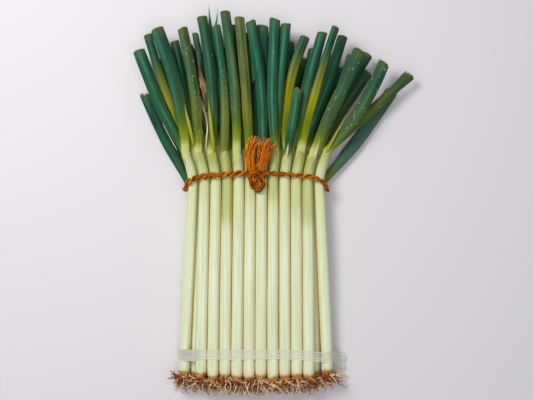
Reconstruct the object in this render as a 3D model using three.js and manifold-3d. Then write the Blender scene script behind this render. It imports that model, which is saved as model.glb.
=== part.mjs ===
// A bunch of long spring onions, laid flat in two rows, with the leaf tops trimmed to an arc.
// A straw rope ties it just below the leaves and a clear film band holds it above the roots.
// Millimetres. X runs across the bunch, Y from the roots to the leaf tips, and Z is up.
import * as THREE from 'three';
import { mergeVertices } from 'three/addons/utils/BufferGeometryUtils.js';
import Module from 'manifold-3d';

const wasm = await Module();
wasm.setup();

// Lengths along the bunch, from the root plates at Y = 0.
const ROOT_LENGTH = 22;
const BAND_Y = 33;
const BAND_WIDTH = 15;
const ROPE_Y = 292;
const NECK_Y = 332;
const COLLAR_HEIGHT = 9;

// The shanks: radii along one onion, and the spacing of the rows at the film band and at the rope.
const ROOT_RADIUS = 8;
const ROOT_TIP_RADIUS = 4.5;
const PLATE_RADIUS = 7.2;
const BASE_RADIUS = 8.8;
const ROPE_RADIUS = 8.1;
const NECK_RADIUS = 7.3;
const STEM_SIDES = 10;
const TOP_ROW = { count: 10, basePitch: 18, ropePitch: 17.2, baseZ: 25.15, ropeZ: 29.3 };
const BOTTOM_ROW = { count: 11, basePitch: 18, ropePitch: 16.9, baseZ: 9.55, ropeZ: 14.4 };
const END_ONION = { ropeX: 94.8, baseZ: 17, ropeZ: 25.8, ropeRadius: 7.5 };
const END_LEFT_X = -108.4;
const END_RIGHT_X = 107.2;
const HALF_SPREAD = 108;
const ROW_LEAN = -1.7;

// How the necks spread above the rope, and how the roots spread below the plates.
const FAN_RATE = 0.0038;
const FAN_EASE = 20;
const ROOT_SPLAY = 0.45;

// Leaves: flattened tubes, narrow in the neck, widest half way up and cut across at the tip.
const LEAF_SIDES = 8;
const LEAF_STEPS = 5;
const LEAF_NECK_WIDTH = 11.5;
const LEAF_NECK_THICKNESS = 5.6;
const LEAF_THICKNESS = 8.4;
const LEAF_BELLY = 1.02;
const LEAF_BEND = 0.4;
const LEAF_SETTLE = 0.45;
const LEAF_GAP = 0.3;

// The straw rope, its knot, its bight and its cut ends.
const ROPE_HALF = 3.6;
const ROPE_FLAT_HALF = 2.7;
const ROPE_WIDE_HALF = 4.6;
const ROPE_CLEARANCE = 0.4;
const ROPE_STEP = 16;
const KNOT_X = 1;
const KNOT_HALF = 7;
const ROPE_FRONT_Y = 304;
const ROPE_SIDE_Y = 279;
const ROPE_BACK_Y = 286;

// The film band: its thickness and its clearance round the shanks.
const FILM_THICKNESS = 0.4;
const FILM_CLEARANCE = 0.35;
const FILM_TAIL = { length: 22, flare: 9, lowY: -1, thickness: 0.6 };

const COLOURS = {
  stem: new THREE.Color(0.72, 0.77, 0.5),
  leaf: new THREE.Color(0.07, 0.27, 0.13),
  straw: new THREE.Color(0.55, 0.25, 0.06),
  film: new THREE.Color(0.88, 0.92, 0.95),
};

const leaf = (tipX, tipY, width, height, bow = 0) => ({ tipX, tipY, width, height, bow });

// The leaves of each top-row onion, left to right: tip X, tip Y, width, height above the table, and how far
// the leaf bows out to the right of its straight lean.
const TOP_LEAVES = [
  [leaf(-148, 520, 19, 43, 25), leaf(-163, 513, 12, 31), leaf(-175, 489, 17, 35, -19)],
  [leaf(-109, 521, 15, 42, 22), leaf(-122, 503, 13, 30, 3)],
  [leaf(-81, 538, 15, 42, 26), leaf(-92, 515, 9, 30, 10)],
  [leaf(-59, 525, 12, 40, 18), leaf(-68, 512, 10, 28, 10)],
  [leaf(-46, 546, 14, 42, 9), leaf(-36, 522, 11, 30, 5)],
  [leaf(-25, 537, 14, 42, -2), leaf(-16, 515, 12, 30)],
  [leaf(-9, 531, 15, 42, 4), leaf(9, 527, 17, 30)],
  [leaf(28, 534, 15, 44, -14), leaf(45, 528, 14, 38.5, -4)],
  [leaf(74, 510, 14, 30, -26), leaf(62, 428, 14, 53)],
  [leaf(100, 514, 14, 42, -16), leaf(130, 511, 15, 30, 18), leaf(118, 521, 11, 53)],
  [leaf(156, 488, 18, 42, 11), leaf(143, 482, 12, 31.5, 14)],
  [leaf(192, 470, 17, 37, 39), leaf(232, 453, 15, 24, 36)],
];

// The leaves of each bottom-row onion, left to right, in the same terms.
const BOTTOM_LEAVES = [
  [leaf(-150, 476, 14, 21), leaf(-140, 446, 13, 6)],
  [leaf(-128, 486, 14, 18), leaf(-116, 462, 13, 6)],
  [leaf(-102, 498, 13, 18), leaf(-91, 474, 13, 6)],
  [leaf(-69, 522, 13, 18), leaf(-78, 490, 13, 6)],
  [leaf(-36, 529, 13, 18), leaf(-47, 498, 13, 6)],
  [leaf(0, 528, 13, 18), leaf(-14, 504, 13, 6)],
  [leaf(37, 526, 13, 18), leaf(24, 500, 13, 6)],
  [leaf(52, 504, 13, 18), leaf(75, 480, 13, 6)],
  [leaf(86, 494, 13, 18), leaf(97, 470, 13, 6)],
  [leaf(117, 484, 13, 18), leaf(132, 466, 14, 6)],
  [leaf(170, 484, 15, 23), leaf(171, 459, 16, 8, 12)],
];

// Two outer leaves that peel away at the ends of the rope and lie low, one on each side.
const OUTER_LEAVES = [
  { name: 'outer_leaf_left', startX: -106, bendX: -141, tip: leaf(-168, 426, 19, 7) },
  { name: 'outer_leaf_right', startX: 106, bendX: 166, tip: leaf(207, 431, 18, 7) },
];
const OUTER_START = { y: 297, z: 9.9, width: 12, thickness: 8 };

const mix = THREE.MathUtils.lerp;
const ease = (value) => THREE.MathUtils.smoothstep(value, 0, 1);

// Revolves a profile of [radius, distance along] pairs about the Y axis.
function lathed(profile, sides) {
  const points = profile.map(([radius, along]) => new THREE.Vector2(radius, along));
  return new THREE.LatheGeometry(points, sides);
}

// Bends a straight piece: its Y becomes a place along a centre line, and its X and Z the section.
function bend(geometry, frameAt) {
  const position = geometry.attributes.position;
  const point = new THREE.Vector3();
  for (let i = 0; i < position.count; i += 1) {
    point.fromBufferAttribute(position, i);
    const frame = frameAt(point.y);
    const place = frame.centre.clone();
    place.addScaledVector(frame.side, point.x);
    place.addScaledVector(frame.up, point.z);
    position.setXYZ(i, place.x, place.y, place.z);
  }
  return geometry;
}

// A section that stands upright across a line that runs level along the given heading.
function uprightFrame(centre, headingX, headingY, halfWidth, halfThickness) {
  const length = Math.hypot(headingX, headingY);
  const side = new THREE.Vector3(headingY / length, -headingX / length, 0);
  return {
    centre,
    side: side.multiplyScalar(halfWidth),
    up: new THREE.Vector3(0, 0, halfThickness),
  };
}

// Welds a three.js geometry into a closed solid that can be joined to another.
function solidOf(geometry) {
  const bare = geometry.clone();
  bare.deleteAttribute('normal');
  bare.deleteAttribute('uv');
  const welded = mergeVertices(bare, 1e-4);
  const corners = welded.index.array;
  const triVerts = [];
  for (let i = 0; i < corners.length; i += 3) {
    const [a, b, c] = [corners[i], corners[i + 1], corners[i + 2]];
    if (a !== b && b !== c && c !== a) {
      triVerts.push(a, b, c);
    }
  }
  return new wasm.Manifold(new wasm.Mesh({
    numProp: 3,
    vertProperties: new Float32Array(welded.attributes.position.array),
    triVerts: new Uint32Array(triVerts),
  }));
}

// Joins overlapping geometries into one body.
function joined(geometries) {
  const solids = geometries.map(solidOf);
  const body = solids.reduce((sum, next) => sum.add(next));
  const mesh = body.getMesh();
  const geometry = new THREE.BufferGeometry();
  geometry.setAttribute('position', new THREE.BufferAttribute(mesh.vertProperties, 3));
  geometry.setIndex(new THREE.BufferAttribute(mesh.triVerts, 1));
  geometry.computeVertexNormals();
  return geometry;
}

function named(name, geometry, colour, roughness) {
  const material = new THREE.MeshStandardMaterial({ color: colour, roughness, metalness: 0 });
  const mesh = new THREE.Mesh(geometry, material);
  mesh.name = name;
  return mesh;
}

// Where each onion lies: across the bunch and above the table, at its root plate and at the rope.
function layOut() {
  const onions = [];
  const addRow = (row, leafSets) => {
    leafSets.forEach((leaves, i) => {
      const place = i - (row.count - 1) / 2;
      onions.push({
        baseX: place * row.basePitch + ROW_LEAN,
        ropeX: place * row.ropePitch,
        baseZ: row.baseZ,
        ropeZ: row.ropeZ,
        ropeRadius: ROPE_RADIUS,
        leaves,
      });
    });
  };
  const addEnd = (baseX, leaves) => {
    const { ropeX, ...rest } = END_ONION;
    onions.push({ baseX, ropeX: Math.sign(baseX) * ropeX, ...rest, leaves });
  };
  addEnd(END_LEFT_X, TOP_LEAVES[0]);
  addRow(TOP_ROW, TOP_LEAVES.slice(1, -1));
  addEnd(END_RIGHT_X, TOP_LEAVES.at(-1));
  addRow(BOTTOM_ROW, BOTTOM_LEAVES);
  onions.forEach((onion, i) => {
    const edge = onion.baseX / HALF_SPREAD;
    onion.name = `onion_${String(i + 1).padStart(2, '0')}`;
    onion.baseY = -3 + 6 * edge * edge + 1.8 * Math.sin(2.4 * i);
  });
  return onions;
}

// The centre line of a shank at a distance along the bunch.
function stemCentre(onion, y) {
  const along = THREE.MathUtils.clamp((y - BAND_Y) / (ROPE_Y - BAND_Y), 0, 1);
  const above = Math.max(y - ROPE_Y, 0);
  const below = Math.max(onion.baseY - y, 0);
  const fan = FAN_RATE * onion.ropeX * above * above / (above + FAN_EASE);
  const splay = ROOT_SPLAY * below * onion.baseX / HALF_SPREAD;
  const x = mix(onion.baseX, onion.ropeX, along) + fan + splay;
  return new THREE.Vector3(x, y, mix(onion.baseZ, onion.ropeZ, along));
}

function stemSlope(onion, y) {
  return stemCentre(onion, y).x - stemCentre(onion, y - 1).x;
}

function stemRadius(onion, y) {
  const along = THREE.MathUtils.clamp(y / ROPE_Y, 0, 1);
  return mix(BASE_RADIUS, onion.ropeRadius, along ** 3);
}

// One shank with its root plate and the tuft of roots behind it.
function makeStem(onion) {
  const base = onion.baseY;
  const profile = [
    [0, base - ROOT_LENGTH],
    [ROOT_TIP_RADIUS, base - ROOT_LENGTH],
    [ROOT_RADIUS, base - ROOT_LENGTH / 2],
    [PLATE_RADIUS, base - 2],
    [BASE_RADIUS, base + 9],
    [BASE_RADIUS, BAND_Y + BAND_WIDTH],
    [stemRadius(onion, ROPE_Y / 2), ROPE_Y / 2],
    [stemRadius(onion, ROPE_SIDE_Y), ROPE_SIDE_Y],
    [onion.ropeRadius, ROPE_Y],
    [mix(onion.ropeRadius, NECK_RADIUS, 0.5), ROPE_FRONT_Y + 4],
    [NECK_RADIUS, NECK_Y],
    [0, NECK_Y],
  ];
  const frameAt = (y) => uprightFrame(stemCentre(onion, y), stemSlope(onion, y), 1, 1, 1);
  return bend(lathed(profile, STEM_SIDES), frameAt);
}

// One leaf, from the collar in the neck to its cut tip.
function makeLeaf(onion, spec, shift) {
  const start = stemCentre(onion, NECK_Y + COLLAR_HEIGHT * 0.6);
  start.z += shift;
  const slope = stemSlope(onion, NECK_Y);
  const reach = spec.tipY - start.y;
  const path = new THREE.QuadraticBezierCurve(
    new THREE.Vector2(start.x, start.y),
    new THREE.Vector2(start.x + slope * reach * LEAF_BEND + spec.bow, start.y + reach * LEAF_BEND),
    new THREE.Vector2(spec.tipX, spec.tipY),
  );
  const profile = [[0, 0]];
  for (let step = 0; step <= LEAF_STEPS; step += 1) {
    profile.push([1, step / LEAF_STEPS]);
  }
  profile.push([0, 1]);
  const frameAt = (t) => {
    const point = path.getPoint(t);
    const heading = path.getTangent(t);
    const settled = ease(t / LEAF_SETTLE);
    const centre = new THREE.Vector3(point.x, point.y, mix(start.z, spec.height, settled));
    const full = spec.width * mix(LEAF_BELLY, 1, ease(2 * t - 1));
    const width = mix(LEAF_NECK_WIDTH, full, settled);
    const thickness = mix(LEAF_NECK_THICKNESS, LEAF_THICKNESS, settled);
    return uprightFrame(centre, heading.x, heading.y, width / 2, thickness / 2);
  };
  return bend(lathed(profile, LEAF_SIDES), frameAt);
}

// An outer leaf, in a gentle curve from beside the end shank to its cut tip.
function makeOuterLeaf({ startX, bendX, tip }) {
  const path = new THREE.QuadraticBezierCurve(
    new THREE.Vector2(startX, OUTER_START.y),
    new THREE.Vector2(bendX, (OUTER_START.y + tip.tipY) / 2),
    new THREE.Vector2(tip.tipX, tip.tipY),
  );
  const profile = [[0, 0]];
  for (let step = 0; step <= LEAF_STEPS; step += 1) {
    profile.push([1, step / LEAF_STEPS]);
  }
  profile.push([0, 1]);
  const frameAt = (t) => {
    const point = path.getPoint(t);
    const heading = path.getTangent(t);
    const settled = ease(t / LEAF_SETTLE);
    const centre = new THREE.Vector3(point.x, point.y, mix(OUTER_START.z, tip.height, settled));
    const width = mix(OUTER_START.width, tip.width, settled);
    const thickness = mix(OUTER_START.thickness, LEAF_THICKNESS, settled);
    return uprightFrame(centre, heading.x, heading.y, width / 2, thickness / 2);
  };
  return bend(lathed(profile, LEAF_SIDES), frameAt);
}

// The leaves of one onion, growing out of a short collar that stands on the neck.
function makeLeaves(onion) {
  const low = NECK_Y + LEAF_GAP;
  const high = low + COLLAR_HEIGHT;
  const profile = [[0, low], [NECK_RADIUS, low], [NECK_RADIUS, high], [0, high]];
  const frameAt = (y) => uprightFrame(stemCentre(onion, y), stemSlope(onion, y), 1, 1, 1);
  const collar = bend(lathed(profile, STEM_SIDES), frameAt);
  const byHeight = [...onion.leaves].sort((a, b) => a.height - b.height);
  const spread = 2 * (NECK_RADIUS - LEAF_NECK_THICKNESS / 2) - 1;
  const blades = byHeight.map((spec, i) => {
    const shift = spread * (i / (byHeight.length - 1) - 0.5);
    return makeLeaf(onion, spec, shift);
  });
  return joined([collar, ...blades]);
}

// The convex outline, in X and Z, that wraps all the shanks at one Y with the given clearance.
function outlineRound(onions, y, clearance) {
  const samples = 32;
  const points = [];
  for (const onion of onions) {
    const centre = stemCentre(onion, y);
    const radius = stemRadius(onion, y) + clearance;
    for (let k = 0; k < samples; k += 1) {
      const angle = (k / samples) * 2 * Math.PI;
      points.push([centre.x + radius * Math.cos(angle), centre.z + radius * Math.sin(angle)]);
    }
  }
  points.sort((a, b) => a[0] - b[0] || a[1] - b[1]);
  const turn = (o, a, b) => (a[0] - o[0]) * (b[1] - o[1]) - (a[1] - o[1]) * (b[0] - o[0]);
  const halfHull = (ordered) => {
    const hull = [];
    for (const point of ordered) {
      while (hull.length > 1 && turn(hull.at(-2), hull.at(-1), point) <= 1e-6) {
        hull.pop();
      }
      hull.push(point);
    }
    return hull.slice(0, -1);
  };
  return [...halfHull(points), ...halfHull([...points].reverse())];
}

// How far towards the leaves the rope lies: furthest on top, least at the two sides.
function ropeY(x, z, topZ) {
  if (z > END_ONION.ropeZ) {
    const height = ease((z - END_ONION.ropeZ) / (topZ - END_ONION.ropeZ));
    return mix(ROPE_SIDE_Y, ROPE_FRONT_Y - 0.0008 * x * x, height);
  }
  return mix(ROPE_SIDE_Y, ROPE_BACK_Y, ease((END_ONION.ropeZ - z) / END_ONION.ropeZ));
}

// The run of rope round the bunch, from one side of the knot to the other.
function makeRopeLoop(onions) {
  const outline = outlineRound(onions, ROPE_SIDE_Y, ROPE_CLEARANCE + ROPE_HALF);
  const topZ = Math.max(...outline.map((point) => point[1]));
  const first = outline.findIndex((point) => point[1] > topZ - 0.01 && point[0] < KNOT_X);
  const corners = [
    [KNOT_X - KNOT_HALF, topZ],
    ...outline.slice(first),
    ...outline.slice(0, first),
    [KNOT_X + KNOT_HALF, topZ],
  ];
  const stations = [];
  for (let i = 1; i < corners.length; i += 1) {
    const [fromX, fromZ] = corners[i - 1];
    const [toX, toZ] = corners[i];
    const pieces = Math.ceil(Math.hypot(toX - fromX, toZ - fromZ) / ROPE_STEP);
    for (let k = 0; k < pieces; k += 1) {
      stations.push(new THREE.Vector3(mix(fromX, toX, k / pieces), 0, mix(fromZ, toZ, k / pieces)));
    }
  }
  stations.push(new THREE.Vector3(KNOT_X + KNOT_HALF, 0, topZ));
  const unders = stations.map((place) => 1 - ease((place.z - 2) / 6));
  stations.forEach((place, i) => {
    place.y = ropeY(place.x, place.z, topZ);
    place.z += unders[i] * (ROPE_HALF - ROPE_FLAT_HALF);
  });
  const last = stations.length - 1;
  const profile = [[0, 0], ...stations.map((place, i) => [1, i]), [0, last]];
  const frameAt = (along) => {
    const i = Math.round(along);
    const tangent = stations[Math.min(i + 1, last)].clone();
    tangent.sub(stations[Math.max(i - 1, 0)]).normalize();
    const outward = new THREE.Vector3(tangent.z, 0, -tangent.x).normalize();
    const side = tangent.clone().cross(outward).normalize();
    return {
      centre: stations[i],
      side: side.multiplyScalar(mix(ROPE_HALF, ROPE_WIDE_HALF, unders[i])),
      up: outward.multiplyScalar(mix(ROPE_HALF, ROPE_FLAT_HALF, unders[i])),
    };
  };
  return { geometry: bend(lathed(profile, 8), frameAt), topZ };
}

// A tapering bundle of straw between two points, with a half width and a half thickness at each end.
function makeStrawEnd(from, to, halfWidths, halfThicknesses) {
  const profile = [[0, 0], [1, 0], [1, 0.5], [1, 1], [0, 1]];
  const frameAt = (t) => uprightFrame(
    from.clone().lerp(to, t),
    to.x - from.x,
    to.y - from.y,
    mix(halfWidths[0], halfWidths[1], t),
    mix(halfThicknesses[0], halfThicknesses[1], t),
  );
  return bend(lathed(profile, 8), frameAt);
}

function makeRope(onions) {
  const { geometry: loop, topZ } = makeRopeLoop(onions);
  const knot = new THREE.SphereGeometry(1, 12, 8);
  knot.scale(13, 7.5, 5.4);
  knot.translate(KNOT_X, ROPE_FRONT_Y, topZ + 2.2);
  const bight = new THREE.TorusGeometry(9, 3.4, 6, 14);
    bight.translate(KNOT_X + 2, ROPE_FRONT_Y - 18, topZ + 0.4);
  const shortEnd = makeStrawEnd(
    new THREE.Vector3(-7, ROPE_FRONT_Y, topZ + 2.4),
    new THREE.Vector3(-5, ROPE_FRONT_Y + 52, topZ + 8),
    [6, 4.5],
    [4.2, 4],
  );
  const longEnd = makeStrawEnd(
    new THREE.Vector3(5, ROPE_FRONT_Y, topZ + 2.4),
    new THREE.Vector3(15, ROPE_FRONT_Y + 56, topZ + 8),
    [6, 11],
    [4.2, 4],
  );
  return joined([loop, knot, bight, shortEnd, longEnd]);
}

// The film: a taut flat ring with a flat underside, and the free tail of film at its right end.
function makeBand(onions) {
  const trace = (path, points) => {
    path.moveTo(points[0][0], points[0][1]);
    points.slice(1).forEach(([x, z]) => path.lineTo(x, z));
    path.closePath();
    return path;
  };
  const outer = outlineRound(onions, BAND_Y, FILM_CLEARANCE + FILM_THICKNESS);
  const shape = trace(new THREE.Shape(), outer);
  shape.holes.push(trace(new THREE.Path(), outlineRound(onions, BAND_Y, FILM_CLEARANCE)));
  const ring = new THREE.ExtrudeGeometry(shape, { depth: BAND_WIDTH, bevelEnabled: false });
  ring.rotateX(Math.PI / 2);
  ring.translate(0, BAND_Y + BAND_WIDTH / 2, 0);
  const edge = Math.max(...outer.map((point) => point[0]));
  const halfBand = BAND_WIDTH / 2 - 1;
  const tailShape = new THREE.Shape([
    new THREE.Vector2(edge - FILM_THICKNESS / 2, BAND_Y - halfBand),
    new THREE.Vector2(edge + FILM_TAIL.flare, FILM_TAIL.lowY + FILM_TAIL.flare),
    new THREE.Vector2(edge + FILM_TAIL.length, FILM_TAIL.lowY),
    new THREE.Vector2(edge + FILM_TAIL.length, BAND_Y + 4),
    new THREE.Vector2(edge - FILM_THICKNESS / 2, BAND_Y + halfBand),
  ]);
  const tail = new THREE.ExtrudeGeometry(tailShape, { depth: FILM_TAIL.thickness, bevelEnabled: false });
  tail.translate(0, 0, END_ONION.baseZ);
  return joined([ring, tail]);
}

const onions = layOut();
const bunch = new THREE.Group();
for (const onion of onions) {
  bunch.add(named(`${onion.name}_stem`, makeStem(onion), COLOURS.stem, 0.4));
  bunch.add(named(`${onion.name}_leaves`, makeLeaves(onion), COLOURS.leaf, 0.5));
}
for (const outer of OUTER_LEAVES) {
  bunch.add(named(outer.name, makeOuterLeaf(outer), COLOURS.leaf, 0.5));
}
bunch.add(named('straw_rope', makeRope(onions), COLOURS.straw, 0.8));
bunch.add(named('clear_band', makeBand(onions), COLOURS.film, 0.15));

// The frame's origin is the middle of the footprint, on the table.
const box = new THREE.Box3().setFromObject(bunch);
const middle = box.getCenter(new THREE.Vector3());
bunch.position.set(-middle.x, -middle.y, -box.min.z);
bunch.updateMatrixWorld(true);

const part = new THREE.Group();
part.add(bunch);
export default part;
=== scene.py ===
"""The looks of a bunch of long spring onions, built round the packed model of the bunch.

The bunch lies flat: X runs across it, Y from the roots to the leaf tips, and Z is up. The layout is
worked out in millimetres from the root plates, and place() moves it into the packed model's frame in metres.
"""
import math
import random

import bmesh
import bpy
from bpy.props import FloatProperty, FloatVectorProperty, IntProperty, PointerProperty
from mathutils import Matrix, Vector, noise


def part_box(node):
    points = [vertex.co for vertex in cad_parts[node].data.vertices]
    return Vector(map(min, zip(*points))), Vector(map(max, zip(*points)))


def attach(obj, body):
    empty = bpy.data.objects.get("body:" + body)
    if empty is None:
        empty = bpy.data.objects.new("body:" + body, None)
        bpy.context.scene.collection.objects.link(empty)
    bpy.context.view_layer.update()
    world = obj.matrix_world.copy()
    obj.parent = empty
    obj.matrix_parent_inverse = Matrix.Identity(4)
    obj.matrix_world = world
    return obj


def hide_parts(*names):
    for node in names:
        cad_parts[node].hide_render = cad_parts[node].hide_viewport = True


bl_info = {
    "name": "Spring Onion Bunch",
    "version": (1, 0, 0),
    "blender": (4, 5, 0),
    "location": "View3D > Sidebar > Onions",
    "description": "Builds a bunch of spring onions tied with straw rope and a film band",
    "category": "Object",
}

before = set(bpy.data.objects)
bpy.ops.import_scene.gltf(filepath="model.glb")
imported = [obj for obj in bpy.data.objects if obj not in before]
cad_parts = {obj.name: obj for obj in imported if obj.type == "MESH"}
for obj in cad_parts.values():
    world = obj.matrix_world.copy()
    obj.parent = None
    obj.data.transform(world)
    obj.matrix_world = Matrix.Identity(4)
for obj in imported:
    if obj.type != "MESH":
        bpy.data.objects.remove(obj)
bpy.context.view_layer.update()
BODY = "root"

# Lengths along the bunch in millimetres, from the root plates at 0.
MM = 0.001
BAND_Y = 33.0
BAND_WIDTH = 15.0
ROPE_Y = 292.0
NECK_Y = 332.0
COLLAR_RISE = 5.4
ROPE_FRONT_Y = 304.0
ROPE_SIDE_Y = 279.0
ROPE_BACK_Y = 286.0

# Shanks: radii along one onion, and the spacing of the rows at the film band and at the rope.
BASE_RADIUS = 8.8
ROPE_RADIUS = 8.1
NECK_RADIUS = 7.3
# How green the upper part of a shank is, and how far up the shank that starts.
SHANK_GREENS = {
    "onion_02": (0.3, 250), "onion_04": (0.85, 226), "onion_06": (0.25, 262), "onion_08": (0.7, 262),
    "onion_10": (0.4, 236), "onion_11": (0.7, 222), "onion_18": (1.0, 240), "onion_19": (1.0, 250),
    "onion_20": (0.9, 226), "onion_21": (1.0, 216), "onion_22": (0.9, 208), "onion_15": (0.9, 240),
}
TOP_ROW = {"count": 10, "base_pitch": 18.0, "rope_pitch": 17.2, "base_z": 25.15, "rope_z": 29.3}
BOTTOM_ROW = {"count": 11, "base_pitch": 18.0, "rope_pitch": 16.9, "base_z": 9.55, "rope_z": 14.4}
END_ONION = {"rope_x": 94.8, "base_z": 17.0, "rope_z": 25.8}
END_LEFT_X = -108.4
END_RIGHT_X = 107.2
HALF_SPREAD = 108.0
ROW_LEAN = -1.7
END_ROPE_RADIUS = 7.5
FAN_RATE = 0.0038
FAN_EASE = 20.0
ROOT_SPLAY = 0.45

# Leaves: width and thickness in the neck and above it.
LEAF_NECK_WIDTH = 12.4
LEAF_NECK_THICKNESS = 6.4
LEAF_THICKNESS = 8.4
LEAF_BELLY = 1.02
LEAF_BEND = 0.4
LEAF_SETTLE = 0.45

# Rope and film.
ROPE_HALF = 3.6
ROPE_FLAT_HALF = 2.7
ROPE_WIDE_HALF = 4.6
ROPE_CLEARANCE = 0.4
KNOT_X = 1.0
FILM_CLEARANCE = 0.4
FILM_OUTSIDE = 0.75
FLOOR_GAP = 0.7

# The leaves of each onion as tip X, tip Y, width, height above the table and how far the leaf bows to the
# right of its straight lean: the top row, left to right.
TOP_LEAVES = (
    ((-148, 520, 19, 43, 25), (-163, 513, 12, 31, 0), (-175, 489, 17, 35, -19)),
    ((-109, 521, 15, 42, 22), (-122, 503, 13, 30, 3)),
    ((-81, 538, 15, 42, 26), (-92, 515, 9, 30, 10)),
    ((-59, 525, 12, 40, 18), (-68, 512, 10, 28, 10)),
    ((-46, 546, 14, 42, 9), (-36, 522, 11, 30, 5)),
    ((-25, 537, 14, 42, -2), (-16, 515, 12, 30, 0)),
    ((-9, 531, 15, 42, 4), (9, 527, 17, 30, 0)),
    ((28, 534, 15, 44, -14), (45, 528, 14, 38.5, -4)),
    ((74, 510, 14, 30, -26), (62, 428, 14, 53, 0)),
    ((100, 514, 14, 42, -16), (130, 511, 15, 30, 18), (118, 521, 11, 53, 0)),
    ((156, 488, 18, 42, 11), (143, 482, 12, 31.5, 14)),
    ((192, 470, 17, 37, 39), (232, 453, 15, 24, 36)),
)
# The same for the bottom row.
BOTTOM_LEAVES = (
    ((-150, 476, 14, 21, 0), (-140, 446, 13, 6, 0)),
    ((-128, 486, 14, 18, 0), (-116, 462, 13, 6, 0)),
    ((-102, 498, 13, 18, 0), (-91, 474, 13, 6, 0)),
    ((-69, 522, 13, 18, 0), (-78, 490, 13, 6, 0)),
    ((-36, 529, 13, 18, 0), (-47, 498, 13, 6, 0)),
    ((0, 528, 13, 18, 0), (-14, 504, 13, 6, 0)),
    ((37, 526, 13, 18, 0), (24, 500, 13, 6, 0)),
    ((52, 504, 13, 18, 0), (75, 480, 13, 6, 0)),
    ((86, 494, 13, 18, 0), (97, 470, 13, 6, 0)),
    ((117, 484, 13, 18, 0), (132, 466, 14, 6, 0)),
    ((170, 484, 15, 23, 0), (171, 459, 16, 8, 12)),
)

# Two outer leaves that peel away at the ends of the rope and lie low: start X, bend X, and the tip as above.
OUTER_LEAVES = {
    "outer_leaf_left": (-106, -141, (-168, 426, 19, 7, 0)),
    "outer_leaf_right": (106, 166, (207, 431, 18, 7, 0)),
}
OUTER_START = {"y": 297.0, "z": 9.9, "width": 12.0, "thickness": 8.0}

# What sets single leaves apart: yellow = yellow-green lower part, ochre = dry tint, specks = pale flecks,
# bloom = bluish wax, fray = torn tip, flare = widening at the cut end, scorch = a dry patch,
# twist = turns about its own line, rise = how high the pale foot reaches.
LEAF_LOOKS = {
    "outer_leaf_left": {"bloom": 0.1, "yellow": 0.0, "fray": 2.6, "specks": 0.0, "green_foot": 1.0},
    "outer_leaf_right": {"bloom": 1.5, "yellow": 0.0, "fray": 1.6, "specks": 0.0, "green_foot": 0.3,
                         "rise": 0.0},
    "onion_01_leaf_1": {"bloom": 0.55, "yellow": 0.05, "specks": 0.05, "rise": 1.0},
    "onion_01_leaf_2": {"yellow": 0.50, "bloom": 0.2, "rise": 0.8},
    "onion_01_leaf_3": {"bloom": 0.45, "yellow": 0.0, "rise": -0.9},
    "onion_02_leaf_1": {"yellow": 0.16, "specks": 0.9, "ochre": 0.3, "bloom": 0.2, "slant": 1.5},
    "onion_02_leaf_2": {"yellow": 0.10, "bloom": 0.0},
    "onion_03_leaf_1": {"specks": 0.12, "ochre": 0.05, "bloom": 0.3, "yellow": 0.05},
    "onion_03_leaf_2": {"yellow": 0.3, "bloom": 0.6, "specks": 0.2},
    "onion_04_leaf_1": {"bloom": 0.9, "specks": 0.3, "yellow": 0.25, "rise": -1.4},
    "onion_04_leaf_2": {"bloom": 0.7, "yellow": 0.0},
    "onion_05_leaf_1": {"yellow": 0.12, "specks": 0.35, "ochre": 0.12, "scorch": 1.0, "bloom": 0.6,
                        "rise": 1.0},
    "onion_05_leaf_2": {"specks": 0.2, "yellow": 0.0, "bloom": 0.55},
    "onion_06_leaf_1": {"yellow": 0.12, "specks": 0.35, "ochre": 0.75, "bloom": 0.15},
    "onion_06_leaf_2": {"bloom": 0.4, "yellow": 0.1},
    "onion_07_leaf_1": {"bloom": 0.8, "specks": 0.1, "yellow": 0.0, "rise": -1.0},
    "onion_07_leaf_2": {"bloom": 0.5, "yellow": 0.0},
    "onion_08_leaf_1": {"bloom": 0.95, "specks": 0.12, "yellow": 0.0},
    "onion_08_leaf_2": {"bloom": 0.8, "specks": 0.15, "yellow": 0.08},
    "onion_09_leaf_1": {"yellow": 0.68, "bloom": 0.2, "rise": 0.9},
    "onion_09_leaf_2": {"bloom": 0.9, "fray": 3.5, "yellow": 0.0, "rise": -1.5},
    "onion_10_leaf_1": {"bloom": 0.6, "yellow": 0.1},
    "onion_10_leaf_2": {"bloom": 1.0, "specks": 0.2, "yellow": 0.0, "rise": -0.6},
    "onion_10_leaf_3": {"yellow": 0.57, "bloom": 0.35, "rise": 0.9},
    "onion_11_leaf_1": {"specks": 0.8, "bloom": 0.35, "ochre": 0.08, "yellow": 0.04},
    "onion_11_leaf_2": {"specks": 0.2, "bloom": 0.3, "yellow": 0.3},
    "onion_12_leaf_1": {"specks": 0.75, "yellow": 0.06, "bloom": 0.3, "fray": 1.6, "slant": -2.0,
                        "rise": -0.6},
    "onion_12_leaf_2": {"yellow": 0.2, "bloom": 0.05, "fray": 3.0, "twist": -0.5, "slant": 2.5,
                        "flare": 0.2},
    "onion_23_leaf_1": {"specks": 0.3, "bloom": 0.9, "yellow": 0.0},
}

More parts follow.
